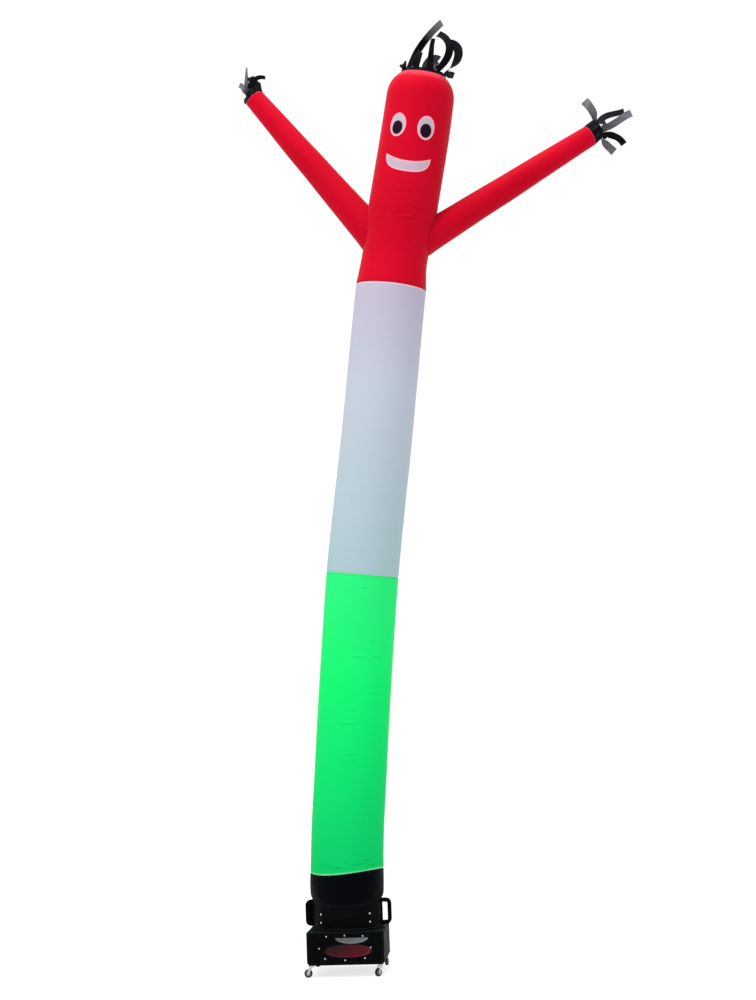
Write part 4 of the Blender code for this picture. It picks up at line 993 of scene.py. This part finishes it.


# ---- ribbons

# Each ribbon grows out of one slot of its band. lean is its tilt from upright to the right, back
# its tilt away from the front, and facing how far its tip is turned about its length, all in
# degrees. The last two say how much paler than black it is at its root and its tip: partly the
# ribbon's own paler colour, partly a painted sheen of the sky on glossy black nylon.
Ribbon = namedtuple(
    "Ribbon",
    "slot length tip_width lean_root lean_middle lean_tip back_root back_tip facing grey_root grey_tip",
)
HAIR_SLOTS, HAND_SLOTS = 18, 9
HAIR = [Ribbon(*row) for row in (
    (11, 0.365, 0.042, 24, 37, 52, 8, -3, 20, -1.1, 0.9),
    (12, 0.100, 0.034, 18, 22, 24, -10, -10, 10, 0.0, 0.1),
    (14, 0.205, 0.028, 3, 8, 13, 4, 4, 30, 0.0, 0.05),
    (15, 0.310, 0.056, 54, 9, -74, -4, 12, 25, 0.0, 0.05),
    (17, 0.278, 0.060, 48, 20, -93, -2, 8, -5, 0.05, 0.05),
    (0, 0.062, 0.040, 62, 95, 122, -6, 0, 20, 0.1, 0.25),
    (10, 0.038, 0.010, -48, -62, -72, 0, 0, -30, 0.0, 0.2),
    (8, 0.072, 0.012, 8, 16, 18, 4, 4, 30, 0.1, 0.2),
    (5, 0.160, 0.036, -8, -4, 4, 6, 6, 10, 0.1, 0.15),
    (4, 0.205, 0.034, -2, 30, 130, 4, 0, 10, 0.2, 0.25),
    (3, 0.150, 0.040, 3, 12, 40, 14, 22, 30, 0.9, 0.3),
)]
HAND_LEFT = [Ribbon(*row) for row in (
    (6, 0.148, 0.022, 2, 66, 122, -26, -10, 10, 0.0, 0.0),
    (7, 0.065, 0.046, -28, -30, -30, -3, -3, 0, 0.0, 0.1),
    (5, 0.168, 0.010, -2, 2, 5, -8, -10, 0, 0.1, 1.3),
    (4, 0.098, 0.034, -14, -22, -72, -4, -6, 0, 0.0, 1.4),
    (0, 0.052, 0.028, -22, -40, -52, 0, 0, 20, 0.0, 0.1),
    (3, 0.062, 0.012, -66, -140, -222, 24, 10, 20, 0.1, 0.3),
    (2, 0.090, 0.024, -30, -24, -12, 8, 10, 50, 0.1, 0.2),
)]
HAND_RIGHT = [Ribbon(*row) for row in (
    (5, 0.156, 0.060, 6, -27, -38, 0, 0, 0, 0.3, 1.0),
    (6, 0.190, 0.034, 22, 77, 66, -4, 2, 20, 0.1, 0.1),
    (7, 0.214, 0.050, 84, 61, 70, -12, -4, 0, 0.3, 0.9),
    (8, 0.158, 0.044, 94, 117, 156, 6, 2, 0, 0.0, 0.0),
    (1, 0.148, 0.054, 142, 138, 128, 20, 12, 0, 0.7, 0.9),
    (3, 0.104, 0.024, 50, 78, 190, 6, 0, 30, 0.5, 0.8),
    (0, 0.030, 0.018, 100, 110, 120, -8, -8, 0, 0.0, 0.0),
)]
RIBBON_STEPS, RIBBON_ACROSS = 28, 4
# Its turn from the band's tangent to its tip's ends at this share of its length.
RIBBON_THICK, RIBBON_TURNED_BY = 0.0010, 0.55
RIBBON_RIPPLE, RIBBON_RIPPLED_FROM = 0.0030, 0.12      # shorter ones ripple less
RIBBON_SLANT, RIBBON_WAVES, RIBBON_CURL = 0.35, (1.2, 2.6), (-0.10, 0.16)
BAND_THICK, BAND_SIDES, BAND_ROWS = 0.0026, 90, 12
BAND_CRUMPLE, BAND_FOLDS, BAND_WAVES = 0.0022, 0.0016, (7, 11, 15, 19)
HAIR_BAND, HAND_BAND = 0.022, 0.062
HAIR_BAND_TAPER, HAND_BAND_TAPER = 0.006, 0.004
# How far the band's far edge is pulled aside by its ribbons.
HAND_BAND_SWING = {"left": (0.030, 0.0, 0.004), "right": (0.006, 0.0, 0.016)}


def ribbon_heading(ribbon, share):
    """The way the ribbon runs there, and the way across it when it lies flat to the front."""
    first, middle, last = ribbon.lean_root, ribbon.lean_middle, ribbon.lean_tip
    bend = 2.0 * (first + last - 2.0 * middle)
    lean = math.radians(first + (last - first) * share + bend * share * (share - 1.0))
    back = math.radians(ribbon.back_root + (ribbon.back_tip - ribbon.back_root) * share)
    along = np.array((math.sin(lean) * math.cos(back), math.sin(back), math.cos(lean) * math.cos(back)))
    return along, np.array((math.cos(lean), 0.0, -math.sin(lean)))


def ribbon_strip(ribbon, root, tangent, root_width, draw, verts, faces, uv, edge):
    """Adds one ribbon to the lists, from its root, where it lies along the band's tangent."""
    along, flat = ribbon_heading(ribbon, 0.0)
    root_turn = math.atan2(np.dot(tangent, np.cross(along, flat)), np.dot(tangent, flat))
    tip_turn = math.radians(ribbon.facing)
    tip_turn += math.pi * round((root_turn - tip_turn) / math.pi)
    slant = draw.uniform(-RIBBON_SLANT, RIBBON_SLANT)
    waves, phase = draw.uniform(*RIBBON_WAVES), draw.uniform(0, math.tau)
    curl = draw.uniform(*RIBBON_CURL)
    ripples = RIBBON_RIPPLE * min(1.0, ribbon.length / RIBBON_RIPPLED_FROM)
    base, point, points = len(verts), root, RIBBON_ACROSS + 1
    ring = 2 * points
    for step in range(RIBBON_STEPS + 1):
        share = step / RIBBON_STEPS
        if step:
            halfway, _ = ribbon_heading(ribbon, share - 0.5 / RIBBON_STEPS)
            point = point + halfway * (ribbon.length / RIBBON_STEPS)
        along, flat = ribbon_heading(ribbon, share)
        turn = tip_turn + (root_turn - tip_turn) * float(fade(share / RIBBON_TURNED_BY))
        across = flat * math.cos(turn) + np.cross(along, flat) * math.sin(turn)
        outward = np.cross(across, along)
        half_width = 0.5 * (root_width + (ribbon.tip_width - root_width) * share)
        middle = point + outward * (ripples * share * math.sin(math.tau * waves * share + phase))
        # Paler along the ribbon, with streaks: partly the ribbon's own colour, partly painted sheen.
        grey = ribbon.grey_root + (ribbon.grey_tip - ribbon.grey_root) * share
        for skin in (0.5, -0.5):
            for c in range(points):
                s = 2.0 * c / RIBBON_ACROSS - 1.0
                bow = curl * half_width * (1.0 - s * s) * min(1.0, 3.0 * share)
                nudge = along * (slant * half_width * s if step == RIBBON_STEPS else 0.0)
                place = middle + across * (half_width * s) + outward * (RIBBON_THICK * skin + bow)
                verts.append(place + nudge)
                streak = 0.16 * math.sin(9.0 * s + 17.0 * share + phase)
                streak += 0.10 * math.sin(31.0 * share + 4 * s)
                edge.append(min(1.0, max(0.0, grey * (1.0 + streak) - 0.02)))

    front = list(range(points))
    loop = front + [points + c for c in reversed(front)]
    sides = list(zip(loop, loop[1:] + loop[:1]))
    quads = []
    for low in range(base, base + RIBBON_STEPS * ring, ring):
        quads += [(low + c, low + d, low + ring + d, low + ring + c) for c, d in sides]
    for low, order in ((base, 1), (base + RIBBON_STEPS * ring, -1)):
        quads += [(low + c, low + c + 1, low + points + 1 + c, low + points + c)[::order] for c in front[:-1]]
    faces += quads
    for v in (v for quad in quads for v in quad):
        row, c = divmod(v - base, ring)
        uv.append((c % points * ribbon.tip_width / RIBBON_ACROSS, row * ribbon.length / RIBBON_STEPS))


def ribbon_set(name, node, start, frame_here, radius, taper, end, slots, ribbons, seed):
    """The black band round an opening, and the ribbons that are sewn to its far edge."""
    along, right, back = frame_here
    end_radius = radius - taper
    a = np.arange(BAND_SIDES) * math.tau / BAND_SIDES
    start = start + along * GAP
    draw = np.random.RandomState(seed)
    rows = np.linspace(0.0, 1.0, BAND_ROWS)[:, None]
    wave = ripple(a, BAND_WAVES, seed)[None, :] * np.minimum(1.0, 3.0 * rows) * BAND_CRUMPLE
    folds = np.cos(9 * a + 2.0)[None, :] * np.sin(math.pi * rows)
    folds = folds + np.cos(14 * a)[None, :] * np.sin(math.tau * rows)
    wave = wave + folds * BAND_FOLDS * np.sin(math.pi * rows)
    r = radius + (end_radius - radius) * rows + wave
    middle = start[None, None, :] + (end - start)[None, None, :] * rows[..., None]
    # Paler unevenly round the band and on the crests of its folds: the crests carry a painted highlight.
    grey = np.clip(0.05 * ripple(a, (3, 5, 9), seed + 1)[None, :] + 0.04 * folds, 0.0, 1.0)
    band = shell(
        f"{name}_band", around(middle, right, back, r, a), around(middle, right, back, r - CLOTH, a),
        "ribbon", grey, node,
    )
    verts, faces, uv, edge = [], [], [], []
    for ribbon in ribbons:
        turns = np.array((ribbon.slot, ribbon.slot + 1)) * (math.tau / slots)
        corners = around(end, right, back, end_radius, turns)
        middle = 0.5 * (corners[0] + corners[1])
        chord = corners[1] - corners[0]
        root = middle + unit(end - middle) * (BAND_THICK / 2)
        ribbon_strip(ribbon, root, unit(chord), np.linalg.norm(chord), draw, verts, faces, uv, edge)
    strips = new_piece(f"{name}_strips", verts, faces, "ribbon", uv, edge, node)


def make_ribbons():
    centre, *ways = spine_frame(np.array(HEAD_RIM))
    ribbon_set(
        "hair", "hair_ribbons", centre, ways, HEAD_RIM_RADIUS, HAIR_BAND_TAPER,
        centre + ways[0] * HAIR_BAND, HAIR_SLOTS, HAIR, 41,
    )
    for arm, ribbons, seed in ((ARMS[0], HAND_LEFT, 52), (ARMS[1], HAND_RIGHT, 63)):
        _, tip, *ways = arm_frame(arm)
        ribbon_set(
            f"hand_{arm.name}", f"hand_ribbons_{arm.name}", tip, ways, arm.tip_radius, HAND_BAND_TAPER,
            tip + ways[0] * HAND_BAND + np.array(HAND_BAND_SWING[arm.name]), HAND_SLOTS, ribbons, seed,
        )


# ---- stitching

# Each length's ends, its rows of stitches, where its back seam ends, and where its girth is taken.
Panel = namedtuple("Panel", "name shade low high rows back_low back_high girth_at rests_on")
LOW, HIGH = TOPSTITCH
PANELS = (
    Panel("sleeve", "black", HEM_FRONT, SEAM_SLEEVE,
          (sleeve_hem(ROUND) + 0.012, sleeve_seam(ROUND) - LOW, sleeve_seam(ROUND) - HIGH),
          HEM_FRONT + 0.03, SEAM_SLEEVE - 0.014, 0.55, "blower_drum"),
    Panel("green", "green", SEAM_SLEEVE, SEAM_GREEN, (SEAM_GREEN - LOW, SEAM_GREEN - HIGH),
          SEAM_SLEEVE + 0.01, SEAM_GREEN - 0.01, 1.5, "base_sleeve_cloth"),
    Panel("white", "white", SEAM_GREEN, SEAM_WHITE, (),
          SEAM_GREEN + 0.01, SEAM_WHITE - 0.01, 3.4, "panel_green_cloth"),
    Panel("red", "red", SEAM_WHITE, HEAD_RIM, (SEAM_WHITE + LOW, SEAM_WHITE + HIGH, HEAD_RIM - 0.018),
          SEAM_WHITE + 0.014, HEAD_RIM - 0.02, 4.7, "panel_white_cloth"),
)
SEAM_ALLOWANCE = 1.02             # of a length's own height, for its lean and its seams


def make_stitching(face_pieces):
    """The stitches of the tube's seams, and each length's flat size."""
    for panel in PANELS:
        rows = [seam_row(height) for height in panel.rows]
        rows += [length_row(turn_deg, panel.back_low, panel.back_high) for turn_deg in BACK_SEAM]
        sewn = [thread_rows(f"stitching_{panel.name}", rows, f"thread_{panel.shade}")]
        if panel.name == "red":
            sewn += face_pieces
        flat = (math.tau * float(girth(panel.girth_at)), SEAM_ALLOWANCE * (panel.high - panel.low))


# ---- blower


def make_blower():
    sticker("sticker_grey", (0.118, 0.122, 0.130), (0.170, 0.175, 0.185), STICKER_TOP)
    sticker("sticker_red", (0.066, 0.0016, 0.0056), (0.080, 0.012, 0.018), STICKER_BOTTOM)
    plastic = dict.fromkeys(("blower", "front", "handle"), "moulded_plastic")
    zinc = dict.fromkeys(("plate", "drum", "caster_plate", "caster_fork"), "zinc_plate")
    wheels = {f"caster_wheel_{caster.name}": f"wheel_{caster.name}" for caster in CASTERS}
    looks = {**plastic, **zinc, **wheels, "sticker_top": "sticker_grey", "sticker_bottom": "sticker_red"}
    for name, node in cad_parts.items():
        if node.hide_render:
            continue
        first = max((key for key in looks if name.startswith(key)), key=len)
        node.data.materials.clear()
        node.data.materials.append(MATERIALS[looks[first]])


# ---- floor, light and camera

CAMERA = (1.129, -10.741, 1.584)
CAMERA_AZIMUTH, CAMERA_PITCH, CAMERA_ROLL = -4.524, 7.2, 2.0
CAMERA_LENS, CAMERA_SENSOR, CAMERA_REACH = 60.84, 36.0, 200.0
WHITE = (1.0, 1.0, 1.0, 1.0)
SKY, FLOOR_GLOW = 1.04, 0.72
FLOOR_POINTS, FLOOR_RADIUS = 64, 60.0
Lamp = namedtuple("Lamp", "name place aim size watts")
LAMPS = (
    Lamp("key", (-4.2, -6.2, 10.5), (-0.5, 0.0, 3.0), 4.0, 400.0),
    Lamp("top", (-0.3, -1.5, 15.0), (-0.1, 0.0, 3.0), 5.0, 800.0),
)


def make_stage():
    scene = bpy.context.scene
    scene.view_settings.view_transform = "Standard"
    world = bpy.data.worlds.new("studio")
    scene.world = world
    world.use_nodes = True
    sky = world.node_tree.nodes["Background"]
    sky.inputs["Color"].default_value = WHITE
    sky.inputs["Strength"].default_value = SKY

    g = Graph("floor", roughness=0.9, specular=0.02)
    g.shader.inputs["Emission Color"].default_value = WHITE
    g.shader.inputs["Emission Strength"].default_value = FLOOR_GLOW
    g.finish(g.mix(g.noise(0.8, 3.0), (0.35, 0.35, 0.35), (0.37, 0.37, 0.37)))
    mesh = bpy.data.meshes.new("floor")
    turns = [math.tau * k / FLOOR_POINTS for k in range(FLOOR_POINTS)]
    ring = [(FLOOR_RADIUS * math.cos(turn), FLOOR_RADIUS * math.sin(turn), 0.0) for turn in turns]
    mesh.from_pydata(ring, [], [tuple(range(FLOOR_POINTS))])
    mesh.materials.append(MATERIALS["floor"])
    floor = put_in_scene("floor", mesh)

    for lamp in LAMPS:
        light = bpy.data.lights.new(lamp.name, "AREA")
        light.shape = "DISK"
        light.size = lamp.size
        light.energy = lamp.watts
        item = put_in_scene(lamp.name, light)
        item.location = lamp.place
        item.rotation_euler = (Vector(lamp.aim) - Vector(lamp.place)).to_track_quat("-Z", "Y").to_euler()

    camera = bpy.data.cameras.new("camera")
    camera.sensor_fit = "AUTO"
    camera.sensor_width = CAMERA_SENSOR
    camera.lens = CAMERA_LENS
    camera.clip_end = CAMERA_REACH
    item = put_in_scene("camera", camera)
    heading, pitch, roll = (math.radians(v) for v in (CAMERA_AZIMUTH, CAMERA_PITCH, CAMERA_ROLL))
    ahead = Vector((
        math.sin(heading) * math.cos(pitch), math.cos(heading) * math.cos(pitch), math.sin(pitch),
    ))
    level = Vector((math.cos(heading), -math.sin(heading), 0.0))
    upright = level.cross(ahead)
    right = level * math.cos(roll) - upright * math.sin(roll)
    up = level * math.sin(roll) + upright * math.cos(roll)
    place = Matrix((right, up, -ahead)).transposed().to_4x4()
    place.translation = Vector(CAMERA) + Vector(PLACE)
    item.matrix_world = place
    scene.camera = item


make_cloth_materials()
make_hard_materials()
panels = make_tube()
for one_arm in ARMS:
    make_arm(one_arm)
face = make_face()
make_ribbons()
make_stitching(face)
make_blower()
make_stage()
